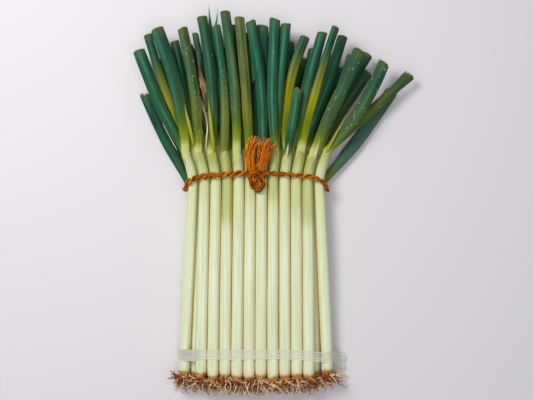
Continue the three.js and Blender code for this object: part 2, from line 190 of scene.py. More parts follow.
# Loose strips among the leaves: points along the middle (X, Y, Z), width, and colour kind.
STRIPS = {
    "torn_leaf_1": (((-88, 486, 38), (-84, 460, 40), (-78, 432, 41), (-74, 408, 40),
                     (-75, 396, 38)), 9.0, "dry"),
    "yellow_strip_1": (((-71, 420, 47), (-69, 398, 48), (-66, 368, 46), (-63, 336, 37)), 4.8, "yellow"),
    "dry_strip_1": (((-80, 410, 39), (-76, 394, 42), (-72, 374, 42), (-74, 354, 40),
                     (-75, 337, 35)), 2.2, "cream"),
    "dry_strip_2": (((-165, 436, 33), (-150, 404, 34), (-134, 368, 34), (-118, 338, 30)), 1.2, "cream"),
    "sliver_1": (((-71, 560, 33), (-69.5, 535, 31), (-67, 500, 29), (-64, 450, 27)), 9.0, "green"),
    "sliver_2": (((-57, 551, 34), (-58.5, 535, 33), (-62, 505, 31), (-61, 450, 28)), 11.0, "green"),
    "sliver_3": (((-4, 539, 35), (-4.5, 525, 34), (-5, 500, 32), (-5, 440, 29)), 11.0, "green"),
    "yellow_strip_2": (((8, 392, 33), (10, 370, 36), (13, 348, 35), (13, 334, 33)), 3.6, "yellow"),
    "yellow_strip_3": (((138, 396, 30), (126, 374, 35), (114, 352, 36), (104, 334, 33)), 3.4, "yellow"),
    "yellow_strip_4": (((-107, 412, 47), (-103, 392, 48), (-98, 370, 46), (-93, 344, 37)), 4.4, "yellow"),
    "dry_strip_3": (((-86, 392, 40), (-80, 366, 41), (-77, 344, 37)), 2.0, "dry"),
    "dry_strip_4": (((96, 356, 39), (92, 344, 42), (88, 330, 40), (85, 318, 37)), 3.0, "cream"),
    "dry_strip_5": (((49, 352, 40), (47, 340, 42), (46, 328, 39)), 2.6, "cream"),
}


def mix(first, second, share):
    return first + (second - first) * share


def clamp(value, low=0.0, high=1.0):
    return min(max(value, low), high)


def ease(value):
    share = clamp(value)
    return share * share * (3 - 2 * share)


class Onion:
    """One onion of the bunch: where its shank runs, how thick it is, and its leaves."""

    def __init__(self, number, xs, zs, rope_radius, leaves):
        self.name = f"onion_{number:02d}"
        self.base_x, self.rope_x = xs
        self.base_z, self.rope_z = zs
        self.rope_radius = rope_radius
        self.leaves = leaves
        self.edge = self.base_x / HALF_SPREAD
        self.base_y = -3 + 6 * self.edge ** 2 + 1.8 * math.sin(2.4 * (number - 1))

    def centre(self, y):
        along = clamp((y - BAND_Y) / (ROPE_Y - BAND_Y))
        above = max(y - ROPE_Y, 0)
        below = max(self.base_y - y, 0)
        fan = FAN_RATE * self.rope_x * above * above / (above + FAN_EASE)
        x = mix(self.base_x, self.rope_x, along) + fan + ROOT_SPLAY * below * self.edge
        return Vector((x, y, mix(self.base_z, self.rope_z, along)))

    def slope(self, y):
        return self.centre(y).x - self.centre(y - 1).x

    def radius(self, y):
        return mix(BASE_RADIUS, self.rope_radius, clamp(y / ROPE_Y) ** 3)


def lay_out():
    """All the onions: the top row with the two end onions, and then the bottom row."""
    onions = []

    def add(xs, zs, radius, leaves):
        onions.append(Onion(len(onions) + 1, xs, zs, radius, leaves))

    def add_row(row, leaf_sets):
        for i, leaves in enumerate(leaf_sets):
            step = i - (row["count"] - 1) / 2
            xs = (step * row["base_pitch"] + ROW_LEAN, step * row["rope_pitch"])
            add(xs, (row["base_z"], row["rope_z"]), ROPE_RADIUS, leaves)

    def add_end(base_x, leaves):
        xs = (base_x, math.copysign(END_ONION["rope_x"], base_x))
        add(xs, (END_ONION["base_z"], END_ONION["rope_z"]), END_ROPE_RADIUS, leaves)

    add_end(END_LEFT_X, TOP_LEAVES[0])
    add_row(TOP_ROW, TOP_LEAVES[1:-1])
    add_end(END_RIGHT_X, TOP_LEAVES[-1])
    add_row(BOTTOM_ROW, BOTTOM_LEAVES)
    return onions


ONIONS = lay_out()


def layout_origin():
    """Where the layout's zero lies in the packed frame, from the film band's left and top edges."""
    low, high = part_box("clear_band")
    left = END_LEFT_X - ONIONS[0].radius(BAND_Y) - FILM_OUTSIDE
    return Vector((low.x - left * MM, high.y - (BAND_Y + BAND_WIDTH / 2) * MM, 0))


ORIGIN = layout_origin()


def place(point):
    """A point of the layout, in millimetres, as a point of the packed frame, in metres."""
    return ORIGIN + point * MM


def outline_round(y, clearance):
    """The convex outline in X and Z that wraps all the shanks at one Y."""
    points = []
    for onion in ONIONS:
        centre = onion.centre(y)
        radius = onion.radius(y) + clearance
        for k in range(32):
            angle = k / 32 * 2 * math.pi
            points.append((centre.x + radius * math.cos(angle), centre.z + radius * math.sin(angle)))
    points.sort()

    def half_hull(ordered):
        hull = []
        for point in ordered:
            while len(hull) > 1:
                (ox, oz), (ax, az) = hull[-2:]
                if (ax - ox) * (point[1] - oz) - (az - oz) * (point[0] - ox) > 1e-6:
                    break
                hull.pop()
            hull.append(point)
        return hull[:-1]

    return half_hull(points) + half_hull(points[::-1])


def rope_y(x, z, top_z):
    """How far towards the leaves the rope lies: furthest on top, least at the two sides."""
    side_z = END_ONION["rope_z"]
    if z > side_z:
        height = ease((z - side_z) / (top_z - side_z))
        return mix(ROPE_SIDE_Y, ROPE_FRONT_Y - 0.0008 * x * x, height)
    return mix(ROPE_SIDE_Y, ROPE_BACK_Y, ease((side_z - z) / side_z))


def evenly(points, step):
    """Points at an even spacing along a broken line, both ends kept."""
    lengths = [0.0]
    for first, second in zip(points, points[1:]):
        lengths.append(lengths[-1] + (second - first).length)
    count = max(int(round(lengths[-1] / step)), 2)
    result = []
    leg = 0
    for k in range(count + 1):
        target = lengths[-1] * k / count
        while leg < len(points) - 2 and lengths[leg + 1] < target:
            leg += 1
        span = max(lengths[leg + 1] - lengths[leg], 1e-9)
        result.append(points[leg].lerp(points[leg + 1], clamp((target - lengths[leg]) / span)))
    return result


def curve_through(points, step):
    """A smooth line through a few points, at an even spacing."""
    ends = [points[0] * 2 - points[1]] + list(points) + [points[-1] * 2 - points[-2]]
    dense = []
    for a, b, c, d in zip(ends, ends[1:], ends[2:], ends[3:]):
        for k in range(8):
            t = k / 8
            dense.append(0.5 * (b * 2 + (c - a) * t + (a * 2 - b * 5 + c * 4 - d) * t * t
                                + (b * 3 - a - c * 3 + d) * t * t * t))
    dense.append(Vector(points[-1]))
    return evenly(dense, step)


def line_frames(points, first_side=Vector((1, 0, 0))):
    """For each point of a line, its sideways and upward directions, carried along without a twist."""
    frames = []
    side = first_side
    for k, point in enumerate(points):
        ahead = points[min(k + 1, len(points) - 1)] - points[max(k - 1, 0)]
        heading = ahead.normalized()
        side = side - heading * side.dot(heading)
        if side.length < 1e-6:
            side = heading.orthogonal()
        side = side.normalized()
        frames.append((point, side, side.cross(heading)))
    return frames


class Skin:
    """A mesh in the making: closed shells rolled from grids, with the marks that the finishes read.

    skin holds the place round and along the piece, tone what the whole strand or leaf has in common,
    wear its specks, dry tint and bloom, and form where its painted ridge highlight and painted side shade
    lie and how high its foot reaches.
    """

    def __init__(self):
        self.mesh = bmesh.new()
        layers = self.mesh.verts.layers.float_vector
        self.layers = [layers.new(name) for name in ("skin", "tone", "wear", "form")]

    def roll(self, around, along, point_at):
        """Rolls a grid: point_at(angle, ring) gives a layout point and its marks."""
        grid = bmesh.ops.create_grid(self.mesh, x_segments=around, y_segments=along, size=0.5)
        for vert in grid["verts"]:
            angle = (vert.co.x + 0.5) * 2 * math.pi
            ring = int(round((vert.co.y + 0.5) * along))
            point, *marks = point_at(angle, ring)
            vert.co = place(point)
            for layer, mark in zip(self.layers, marks):
                vert[layer] = mark

    def strand(self, points, radii, sides, tone, flat=1.0, wear=(0, 0, 0), first_side=Vector((1, 0, 0))):
        """Rolls a tube along a line, closed at both ends; radii holds one radius for each point."""
        frames = line_frames(points, first_side)
        last = len(points) - 1

        def point_at(angle, ring):
            k = clamp(ring - 1, 0, last)
            centre, side, up = frames[k]
            radius = radii[k] if 0 < ring < last + 2 else 0.0
            spot = centre + side * (radius * math.cos(angle)) + up * (radius * flat * math.sin(angle))
            return spot, (math.cos(angle), math.sin(angle), k / last), tone, wear

        self.roll(sides, last + 2, point_at)

    def finish(self, name, material, nodes, slot):
        """Welds the seams and poles, points the faces outwards and hands the piece to the frame."""
        bmesh.ops.remove_doubles(self.mesh, verts=self.mesh.verts, dist=1e-6)
        bmesh.ops.recalc_face_normals(self.mesh, faces=self.mesh.faces)
        for face in self.mesh.faces:
            face.smooth = True
        data = bpy.data.meshes.new(name)
        self.mesh.to_mesh(data)
        self.mesh.free()
        data.materials.append(material)
        piece = bpy.data.objects.new(name, data)
        bpy.context.scene.collection.objects.link(piece)
        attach(piece, BODY)
        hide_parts(*nodes)
        return piece


class Value:
    """A number that varies over a surface; arithmetic on it adds the Math nodes that work it out."""

    def __init__(self, tree, socket):
        self.tree = tree
        self.socket = socket

    def maths(self, operation, *terms):
        node = self.tree.nodes.new("ShaderNodeMath")
        node.operation = operation
        for slot, term in zip(node.inputs, terms):
            if isinstance(term, Value):
                self.tree.links.new(term.socket, slot)
            else:
                slot.default_value = term
        return Value(self.tree, node.outputs[0])

    def __add__(self, other):
        return self.maths("ADD", self, other)

    __radd__ = __add__

    def __sub__(self, other):
        return self.maths("SUBTRACT", self, other)

    def __rsub__(self, other):
        return self.maths("SUBTRACT", other, self)

    def __mul__(self, other):
        return self.maths("MULTIPLY", self, other)

    __rmul__ = __mul__

    def __abs__(self):
        return self.maths("ABSOLUTE", self)

    def either(self, other):
        """The greater of two masks."""
        return self.maths("MAXIMUM", self, other)


class Finish:
    """A material in the making. What is the same all over sits on the shader's own sockets."""

    def __init__(self, name, fixed):
        self.material = bpy.data.materials.new(name)
        self.material.use_nodes = True
        self.tree = self.material.node_tree
        self.shader = self.tree.nodes["Principled BSDF"]
        for socket, value in fixed.items():
            self.shader.inputs[socket].default_value = value

    def node(self, kind, settings, inputs, output=0):
        """Adds one node: its settings first, then the values or links of its sockets."""
        node = self.tree.nodes.new("ShaderNode" + kind)
        for name, value in settings.items():
            setattr(node, name, value)
        for key, term in inputs.items():
            self.feed(node.inputs[key], term)
        return Value(self.tree, node.outputs[output])

    def feed(self, socket, term):
        if isinstance(term, Value):
            self.tree.links.new(term.socket, socket)
        elif socket.type == "RGBA":
            socket.default_value = (*term[:3], 1.0)
        else:
            socket.default_value = term

    def mark(self, name):
        return self.node("Attribute", {"attribute_name": name}, {}, 1)

    def split(self, vector):
        return [self.node("SeparateXYZ", {}, {0: vector}, axis) for axis in range(3)]

    def stretch(self, vector, factors):
        return self.node("VectorMath", {"operation": "MULTIPLY"}, {0: vector, 1: factors})

    def cloud(self, vector, seed, detail=2.0, distortion=0.0):
        """Soft noise from 0 to 1; the seed keeps two pieces from looking alike."""
        inputs = {"Vector": vector, "W": seed, "Scale": 1.0, "Detail": detail, "Distortion": distortion}
        return self.node("TexNoise", {"noise_dimensions": "4D"}, inputs)

    def flecks(self, vector, seed):
        """Distance to the nearest of many scattered points."""
        inputs = {"Vector": vector, "W": seed, "Scale": 1.0}
        return self.node("TexVoronoi", {"voronoi_dimensions": "4D"}, inputs)

    def step(self, value, low, high):
        """0 below low and 1 above high, or the other way round where low is the greater."""
        inputs = {"Value": value, "From Min": low, "From Max": high}
        return self.node("MapRange", {"interpolation_type": "SMOOTHSTEP"}, inputs)

    def tint(self, mask, first, second):
        inputs = {0: mask, 6: first, 7: second}
        return self.node("Mix", {"data_type": "RGBA"}, inputs, 2)

    def relief(self, height, depth):
        bump = self.node("Bump", {}, {"Strength": 1.0, "Distance": depth, "Height": height})
        self.feed(self.shader.inputs["Normal"], bump)

    def paint(self, socket, value):
        self.feed(self.shader.inputs[socket], value)


def colour(name, default, description):
    return FloatVectorProperty(
        name=name, description=description, default=default, subtype="COLOR", size=3, min=0.0, max=1.0,
    )


def length(name, default, description):
    return FloatProperty(name=name, description=description, default=default, unit="LENGTH", min=0.0)


class ShankSettings(bpy.types.PropertyGroup):
    """Sizes and colours of the white shanks."""

    rim_slant: length("Rim Slant", 0.005, "How far the sheath's rim rises from one side to the other")
    wall: length("Sheath Wall", 0.0008, "Thickness of the sheath at its rim")
    pale: colour("Pale", (0.86, 0.90, 0.68), "The whitest part of a shank")
    green: colour("Green", (0.66, 0.76, 0.42), "The veins of a shank")
    # Gold is painted shade: the golden line where the shanks press on each other.
    gap_shade_gold: colour("Gold", (0.95, 0.52, 0.06), "Where shanks press on each other")
    skirt: colour("Skirt", (0.66, 0.28, 0.03), "The dry skin round the root plate")


class RootSettings(bpy.types.PropertyGroup):
    """Sizes and colours of the roots."""

    strands: IntProperty(name="Strands", description="Roots on one onion", default=46, min=1)
    thickness: length("Thickness", 0.0019, "Thickness of a root where it leaves the plate")
    reach: length("Reach", 0.034, "Length of the longest root")
    cream: colour("Cream", (0.98, 0.76, 0.48), "The palest root")
    brown: colour("Brown", (0.26, 0.070, 0.008), "The darkest root")


class LeafSettings(bpy.types.PropertyGroup):
    """Sizes and colours of the leaves."""

    wall: length("Wall", 0.0009, "Thickness of a leaf's wall at its cut tip")
    hollow: length("Hollow", 0.012, "Depth of the hollow in a cut tip")
    green: colour("Green", (0.002, 0.042, 0.019), "The deep green under the wax")
    wax: colour("Wax", (0.012, 0.140, 0.078), "The bluish wax on the leaf")
    yellow: colour("Yellow", (0.36, 0.34, 0.004), "The yellow-green lower part")
    base: colour("Base", (0.60, 0.65, 0.22), "The pale foot in the neck")
    rim: colour("Rim", (0.30, 0.26, 0.11), "The dried edge of a cut")


class RopeSettings(bpy.types.PropertyGroup):
    """Sizes and colours of the straw rope."""

    lay: length("Lay", 0.026, "Length of one full turn of the two strands")
    fibres: IntProperty(name="Fibres", description="Straws in one strand of the rope", default=8, min=3)
    tuft: IntProperty(name="Tuft", description="Straws in the left half of the tuft", default=105, min=1)
    bright: colour("Bright", (0.88, 0.25, 0.004), "The brightest straw")
    dark: colour("Dark", (0.10, 0.011, 0.0005), "The darkest straw")
    cut: colour("Cut", (0.95, 0.58, 0.20), "The pale cut end of a straw")


class FilmSettings(bpy.types.PropertyGroup):
    """Sizes and colours of the film band."""

    thickness: length("Thickness", 0.0003, "Thickness of the folded film")
    clear: colour("Clear", (0.88, 0.92, 0.80), "The film where it lies flat")
    # The crease colour is a painted highlight: the pale line of light along each crease.
    crease_and_sheen: colour("Crease", (0.99, 0.99, 0.84), "The film along a crease")
    opacity: FloatProperty(name="Opacity", description="How much flat film hides", default=0.20,
                           min=0.0, max=1.0)


class StageSettings(bpy.types.PropertyGroup):
    """The camera, the lights and the floor."""

    camera_height: length("Camera Height", 1.585, "Height of the camera above the table")
    lens: FloatProperty(name="Lens", description="Focal length", default=70.0, unit="CAMERA", min=1.0)
    floor: colour("Floor", (0.80, 0.775, 0.82), "The plain floor")
    key: FloatProperty(name="Key", description="Power of the main light", default=17.3,
                       unit="POWER", min=0.0)
    sky: FloatProperty(name="Sky", description="Strength of the light from all round", default=0.30,
                       min=0.0)


def settings(name):
    return getattr(bpy.context.scene, name)


def shank_finish():
    looks = settings("shank_settings")
    finish = Finish("shank_skin", {"Coat Weight": 0.12, "Coat Roughness": 0.25,
                                   "Specular IOR Level": 0.35})
    skin = finish.mark("skin")
    across, upward, along = finish.split(skin)
    seed, neck_green, to_rim = finish.split(finish.mark("tone"))
    seed = seed * 40
    green_up, green_from, open_side = finish.split(finish.mark("wear"))
    veins = finish.cloud(finish.stretch(skin, (11, 11, 9)), seed, 3.0)
    threads = finish.cloud(finish.stretch(skin, (30, 30, 14)), seed, 2.0)
    patches = finish.cloud(finish.stretch(skin, (1.6, 1.6, 16)), seed + 5, 2.0)
    body = finish.tint(finish.step(veins, 0.38, 0.66), looks.pale, looks.green)
    body = finish.tint(finish.step(threads, 0.56, 0.74) * 0.5, body, (0.90, 0.92, 0.76))
    body = finish.tint(finish.step(patches, 0.52, 0.72) * 0.35, body, (0.76, 0.72, 0.50))
    upper = finish.step(along + patches * 0.08, 0.19, 0.36)
    body = finish.tint(upper * (0.25 + veins * 0.6), body, (0.60, 0.66, 0.26))
    greened = finish.step(along - green_from + veins * 0.05 + threads * 0.02, 0.028, 0.056) * green_up
    sides = finish.step(abs(across) + veins * 0.5, 0.35, 0.95)
    body = finish.tint(greened * (0.5 + veins * 0.35 + sides * 0.35), body, (0.38, 0.43, 0.06))
    neck = finish.step(along + veins * 0.06, 0.325, 0.372) * neck_green
    body = finish.tint(neck, body, (0.34, 0.37, 0.045))
    # Painted golden shade in the gaps between neighbouring shanks: a cream-gold band down the sides, then
    # deep gold where they press. It is kept off the open outer sides and mostly off above the rope.
    outer_gap_shade = finish.step(abs(upward) + veins * 0.12, 0.84, 0.58)
    bare = (1.0 - finish.step(along, 0.270, 0.300) * 0.75) * (1.0 - open_side)
    body = finish.tint(outer_gap_shade * bare * 0.5, body, (0.95, 0.80, 0.42))
    inner_gap_shade = finish.step(abs(upward) + veins * 0.20, 0.66, 0.36) * bare
    body = finish.tint(inner_gap_shade * 0.95, body, looks.gap_shade_gold)
    low = finish.step(along + veins * 0.016, 0.0135, 0.0085)
    body = finish.tint(low, body, looks.skirt)
    stain = low * finish.step(threads, 0.42, 0.62)
    body = finish.tint(stain * 0.8, body, (0.30, 0.09, 0.010))
    rim = finish.step(to_rim, 0.0022, 0.0002)
    body = finish.tint(rim * 0.8, body, (0.62, 0.52, 0.26))
    finish.paint("Base Color", body)
    finish.paint("Roughness", 0.34 + veins * 0.16 + low * 0.3)
    finish.relief(veins * 0.7 + threads * 0.3, 0.0006)
    return finish.material


def leaf_finish():
    looks = settings("leaf_settings")
    finish = Finish("leaf_skin", {"Specular IOR Level": 0.13})
    skin = finish.mark("skin")
    across, upward, along = finish.split(skin)
    seed, yellow, to_tip = finish.split(finish.mark("tone"))
    specks, ochre, bloom = finish.split(finish.mark("wear"))
    ridge, flank_shade, rise = finish.split(finish.mark("form"))
    seed = seed * 40
    veins = finish.cloud(finish.stretch(skin, (10, 10, 7)), seed, 3.0)
    threads = finish.cloud(finish.stretch(skin, (34, 34, 12)), seed + 3, 2.0)
    clouds = finish.cloud(finish.stretch(skin, (2.2, 2.2, 22)), seed + 9, 3.0, 0.4)
    grains = finish.cloud(finish.stretch(skin, (40, 40, 420)), seed + 1, 2.0)
    waxed = finish.step(clouds * 0.6 + veins * 0.5, 0.34, 0.74) * (0.25 + bloom * 0.75)
    body = finish.tint(waxed, looks.green, looks.wax)
    # Painted shade: the side of the leaf past its ridge is darkened.
    body = finish.tint(flank_shade * 0.8, body, (0.001, 0.026, 0.013))
    # Painted highlight: a pale blue-green line along the ridge, stronger where the wax bloom is thicker.
    body = finish.tint(ridge * finish.step(clouds, 0.3, 0.6) * (0.35 + bloom * 0.5), body,
                       (0.060, 0.30, 0.19))
    body = finish.tint(finish.step(threads, 0.48, 0.70) * 0.45, body, (0.05, 0.20, 0.10))
    body = finish.tint(finish.step(threads, 0.5, 0.3) * 0.5, body, (0.002, 0.028, 0.012))
    streaked = finish.step(along + clouds * 0.06, 0.20,
                           0.07) * finish.step(veins * 0.6 + threads * 0.5, 0.52, 0.68)
    body = finish.tint(streaked * 0.55, body, (0.13, 0.24, 0.02))
    body = finish.tint(finish.step(grains, 0.56, 0.74) * 0.45 * bloom, body, (0.11, 0.30, 0.23))
    hazed = finish.step(bloom, 1.0, 1.5)
    body = finish.tint(hazed * 0.8, body, (0.065, 0.155, 0.12))
    dried = finish.step(clouds + veins * 0.4, 0.95, 0.55) * ochre
    body = finish.tint(dried, body, (0.25, 0.22, 0.025))
    lower = finish.step(along + clouds * 0.05 - yellow * 0.075, 0.150, 0.060)
    strong = yellow * 1.5
    body = finish.tint(lower * strong.maths("MINIMUM", strong, 0.96), body, looks.yellow)
    shin = finish.step(along + veins * 0.04 - rise * 0.024, 0.088, 0.036)
    body = finish.tint(shin * 0.85, body, (0.075, 0.16, 0.006))
    foot = finish.step(along + veins * 0.03 - rise * 0.018, 0.060, 0.020)
    body = finish.tint(foot * 0.92, body, (0.29, 0.33, 0.012))
    heel = finish.step(along + veins * 0.014 - rise * 0.009, 0.028, 0.010)
    body = finish.tint(heel * 0.9, body, looks.base)
    spot = finish.flecks(finish.stretch(skin, (3.4, 3.4, 150)), seed + 2)
    patchy = finish.cloud(finish.stretch(skin, (1.3, 1.3, 16)), seed + 7, 2.0)
    fleck = finish.step(spot, 0.30, 0.20) * finish.step(patchy + specks * 0.34, 0.66, 0.80)
    body = finish.tint(fleck * 0.85, body, (0.62, 0.58, 0.30))
    speckle = finish.step(grains, 0.66, 0.74) * specks * finish.step(patchy, 0.40, 0.60)
    body = finish.tint(speckle * 0.7, body, (0.34, 0.38, 0.10))
    olive = finish.step(to_tip + clouds * 0.01, 0.022, 0.004)
    body = finish.tint(olive * 0.4, body, (0.11, 0.17, 0.03))
    rim = finish.step(to_tip + threads * 0.0016, 0.0022, 0.0009)
    body = finish.tint(rim * 0.85, body, looks.rim)
    finish.paint("Base Color", body)
    finish.paint("Roughness", 0.40 + waxed * 0.14 + fleck * 0.3 - foot * 0.08)
    finish.relief(veins * 0.5 + threads * 0.5 + fleck * 0.4, 0.0005)
    return finish.material


def strip_finish():
    finish = Finish("strip_skin", {"Specular IOR Level": 0.35})
    skin = finish.mark("skin")
    seed, dry, cream = finish.split(finish.mark("tone"))
    seed = seed * 40
    threads = finish.cloud(finish.stretch(skin, (16, 16, 3)), seed, 3.0)
    patches = finish.cloud(finish.stretch(skin, (2.5, 2.5, 7)), seed + 4, 3.0)
    yellow = finish.tint(threads, (0.50, 0.42, 0.015), (0.27, 0.34, 0.02))
    green = finish.tint(threads, (0.02, 0.11, 0.04), (0.10, 0.26, 0.12))
    brown = finish.tint(finish.step(patches, 0.40, 0.62), (0.055, 0.045, 0.012), (0.34, 0.22, 0.075))
    pale = finish.tint(threads, (0.72, 0.60, 0.34), (0.86, 0.80, 0.58))
    body = finish.tint(finish.step(dry, 0.2, 0.4), green, yellow)
    body = finish.tint(finish.step(dry, 0.6, 0.8), body, brown)
    body = finish.tint(finish.step(cream, 0.4, 0.6), body, pale)
    finish.paint("Base Color", body)
    finish.paint("Roughness", 0.45 + threads * 0.25)
    finish.relief(threads, 0.0004)
    return finish.material


def straw_finish():
    looks = settings("rope_settings")
    finish = Finish("straw", {"Specular IOR Level": 0.12})
    skin = finish.mark("skin")
    across, upward, along = finish.split(skin)
    seed, shade, cut = finish.split(finish.mark("tone"))
    streaks = finish.cloud(finish.stretch(skin, (4, 4, 5)), seed * 60, 3.0)
    body = finish.tint(finish.step(shade + streaks * 1.1 - 0.55, 0.08, 0.92), looks.dark, looks.bright)
    body = finish.tint(finish.step(streaks, 0.60, 0.74) * 0.45, body, (0.98, 0.42, 0.03))
    body = finish.tint(finish.step(streaks, 0.40, 0.28) * 0.7, body, (0.05, 0.005, 0.0004))
    ends = finish.step(along, 0.90, 0.985) * cut
    body = finish.tint(ends, body, looks.cut)
    finish.paint("Base Color", body)
    finish.paint("Roughness", 0.48 + streaks * 0.25)
    finish.relief(streaks, 0.0004)
    return finish.material


def root_finish():
    looks = settings("root_settings")
    finish = Finish("root_skin", {"Specular IOR Level": 0.35})
    skin = finish.mark("skin")
    across, upward, along = finish.split(skin)
    seed, shade, woody = finish.split(finish.mark("tone"))
    blotches = finish.cloud(finish.stretch(skin, (2, 2, 6)), seed * 60, 3.0)
    share = finish.step(shade + blotches * 0.6 - 0.3, 0.1, 0.9)
    body = finish.tint(share, looks.brown, looks.cream)
    body = finish.tint(finish.step(along + blotches * 0.1, 0.26, 0.06) * 0.85, body, (0.58, 0.22, 0.025))
    body = finish.tint(finish.step(along, 0.55, 1.0) * 0.35, body, (0.72, 0.38, 0.19))
    body = finish.tint(woody * finish.step(blotches, 0.40, 0.60), body, (0.66, 0.28, 0.03))
    body = finish.tint(woody * finish.step(blotches, 0.50, 0.36) * 0.9, body, (0.20, 0.055, 0.008))
    finish.paint("Base Color", body)
    finish.paint("Roughness", 0.62 + blotches * 0.2)
    finish.relief(blotches, 0.0005)
    return finish.material


def film_finish():
    looks = settings("film_settings")
    finish = Finish("film", {"Specular IOR Level": 0.6, "Coat Weight": 0.4, "Coat Roughness": 0.12})
    skin = finish.mark("skin")
    across, upward, along = finish.split(skin)
    seed, folded, crease_and_sheen = finish.split(finish.mark("tone"))
    ripples = finish.cloud(finish.stretch(skin, (5, 5, 22)), seed * 60, 3.0)
    # Painted highlight: pale, more opaque lines along the creases.
    crease_sheen = finish.step(crease_and_sheen, 0.35, 0.85)
    body = finish.tint(crease_sheen, looks.clear, looks.crease_and_sheen)
    body = finish.tint(folded * 0.7, body, (0.62, 0.62, 0.56))
    finish.paint("Base Color", body)
    thick = looks.opacity + crease_sheen * 0.40 + folded * 0.34 + finish.step(ripples, 0.5, 0.8) * 0.10
    finish.paint("Alpha", thick.maths("MINIMUM", thick, 0.95))
    finish.paint("Roughness", 0.14 + ripples * 0.14)
    finish.relief(ripples, 0.0006)
    return finish.material


def floor_finish():
    looks = settings("stage_settings")
    finish = Finish("floor", {"Roughness": 0.9, "Specular IOR Level": 0.1})
    place_on_floor = finish.node("TexCoord", {}, {}, 3)
    mottle = finish.cloud(finish.stretch(place_on_floor, (3, 3, 3)), 0.0, 3.0)
    paler = tuple(min(part * 1.02, 1.0) for part in looks.floor)
    finish.paint("Base Color", finish.tint(mottle, looks.floor, paler))
    return finish.material


def make_shank(onion, material):
    """One white shank, from its dry skirt at the plate to the slanted rim of the sheath in the neck."""
    looks = settings("shank_settings")
    draw = random.Random(f"{onion.name} shank")
    seed = draw.random()
    facing = draw.uniform(0, 2 * math.pi)
    lobes = draw.uniform(0, 2 * math.pi)
    slant = looks.rim_slant / MM * draw.uniform(0.3, 1.0)
    notch = draw.uniform(-3.0, 6.0)
    wall = looks.wall / MM
    neck_green = draw.uniform(0.35, 1.0)
    neck_y = NECK_Y - draw.uniform(0.0, 11.0)
    green_up, green_from = SHANK_GREENS.get(onion.name, (0.0, ROPE_Y))
    top_row = onion.rope_z > END_ONION["rope_z"] - 1
    base = onion.base_y
    foot = ((base - 2.2, 5.2), (base - 1.4, 7.0), (base + 0.8, 8.0), (base + 4, 8.5), (base + 9, 8.75))
    stations = [(base - 2.2, 0.0, 0.0)] + [(y, radius, 0.0) for y, radius in foot]
    count = 46
    for k in range(count + 1):
        y = mix(base + 14, neck_y + 4, k / count)
        above = clamp((y - ROPE_Y) / (NECK_Y - ROPE_Y))
        radius = mix(onion.radius(y), NECK_RADIUS + 0.25, ease(above))
        stations.append((y, radius, ease((y - neck_y + 25) / 29)))
    top = neck_y + 4.4
    stations += [(top, NECK_RADIUS - 0.1, 1.0), (top, NECK_RADIUS + 0.25 - wall, 1.0)]
    stations += [(neck_y - 4, NECK_RADIUS - 0.6 - wall, 0.2), (neck_y - 4, 0.0, 0.0)]

    def point_at(angle, ring):
        y, radius, rim = stations[ring]
        rise = slant * math.cos(angle - facing) + notch * math.sin(angle) ** 3
        y += rim * rise
        wander = noise.noise(Vector((seed * 90, y * 0.012, 3.0)))
        swell = (1 + 0.014 * math.cos(2 * angle + lobes)
                 + 0.012 * noise.noise(Vector((seed * 70, y * 0.02, 9.0))))
        bulge = 0.10 * noise.noise(Vector((math.cos(angle) * 2, math.sin(angle) * 2 + seed * 50,
                                           y * 0.03)))
        spot = onion.centre(y)
        slope = onion.slope(y)
        side = Vector((1, -slope, 0)).normalized()
        full = ease((y - base - 2) / 14) * (1 - ease((y - ROPE_SIDE_Y) / 40))
        upper = math.sin(angle) > 0
        squared = 0.34 if abs(onion.edge) > 0.9 else 0.46
        power = 1 - (squared if upper == top_row else 0.12) * full
        across = math.copysign(abs(math.cos(angle)) ** power, math.cos(angle)) * (1 + 0.012 * full)
        spot += side * (radius * swell * across + wander * 0.35)
        spot.z += (radius + bulge) * swell * math.sin(angle)
        spot.z = max(spot.z, 0.15)
        to_rim = (1 - rim) * 0.03 + (0.0 if ring >= len(stations) - 4 else 0.001)
        marks = (math.cos(angle), math.sin(angle), (y - base) * MM)
        outermost = ease((abs(onion.edge) - 0.66) / 0.12)
        open_side = clamp(math.cos(angle) * math.copysign(2, onion.edge)) * outermost
        return spot, marks, (seed, neck_green, to_rim), (green_up, green_from * MM, open_side)

    shell = Skin()
    shell.roll(32, len(stations) - 1, point_at)
    return shell.finish(f"{onion.name}_shank", material, [f"{onion.name}_stem"], "shank")


def make_plate(onion, material):
    """The rough root plate under a shank, with the stubs that the roots leave."""
    draw = random.Random(f"{onion.name} plate")
    seed = draw.random()
    base = onion.base_y
    profile = ((0.0, 0.6), (7.3, 0.6), (7.7, -1.2), (6.9, -3.2), (4.6, -5.0), (2.2, -5.8), (0.0, -6.0))

    def point_at(angle, ring):
        radius, drop = profile[ring]
        lumps = noise.noise(Vector((math.cos(angle) * 3, math.sin(angle) * 3 + seed * 40, ring * 0.9)))
        y = base + drop + 0.7 * lumps * (radius > 0)
        radius *= 1 + 0.13 * lumps
        spot = onion.centre(y) + Vector((radius * math.cos(angle), 0, radius * math.sin(angle)))
        spot.z = max(spot.z, 0.3)
        return spot, (math.cos(angle), math.sin(angle), 0.3 + ring * 0.12), (seed, 0.4, 1.0), (0, 0, 0)

    shell = Skin()
    shell.roll(24, len(profile) - 1, point_at)
    for _ in range(26):
        angle = draw.uniform(0, 2 * math.pi)
        radius = 6.9 * math.sqrt(draw.random())
        start = onion.centre(base - 2) + Vector((radius * math.cos(angle), 0, radius * math.sin(angle)))
        out = Vector((math.cos(angle) * 0.6, -1.2, math.sin(angle) * 0.6)) * draw.uniform(1.6, 3.2)
        points = [start, start + out * 0.6, start + out]
        for point in points:
            point.z = max(point.z, 1.0)
        shell.strand(points, (1.0, 0.85, 0.55), 6, (draw.random(), 0.5, 1.0))
    return shell.finish(f"{onion.name}_plate", material, [f"{onion.name}_stem"], "shank")


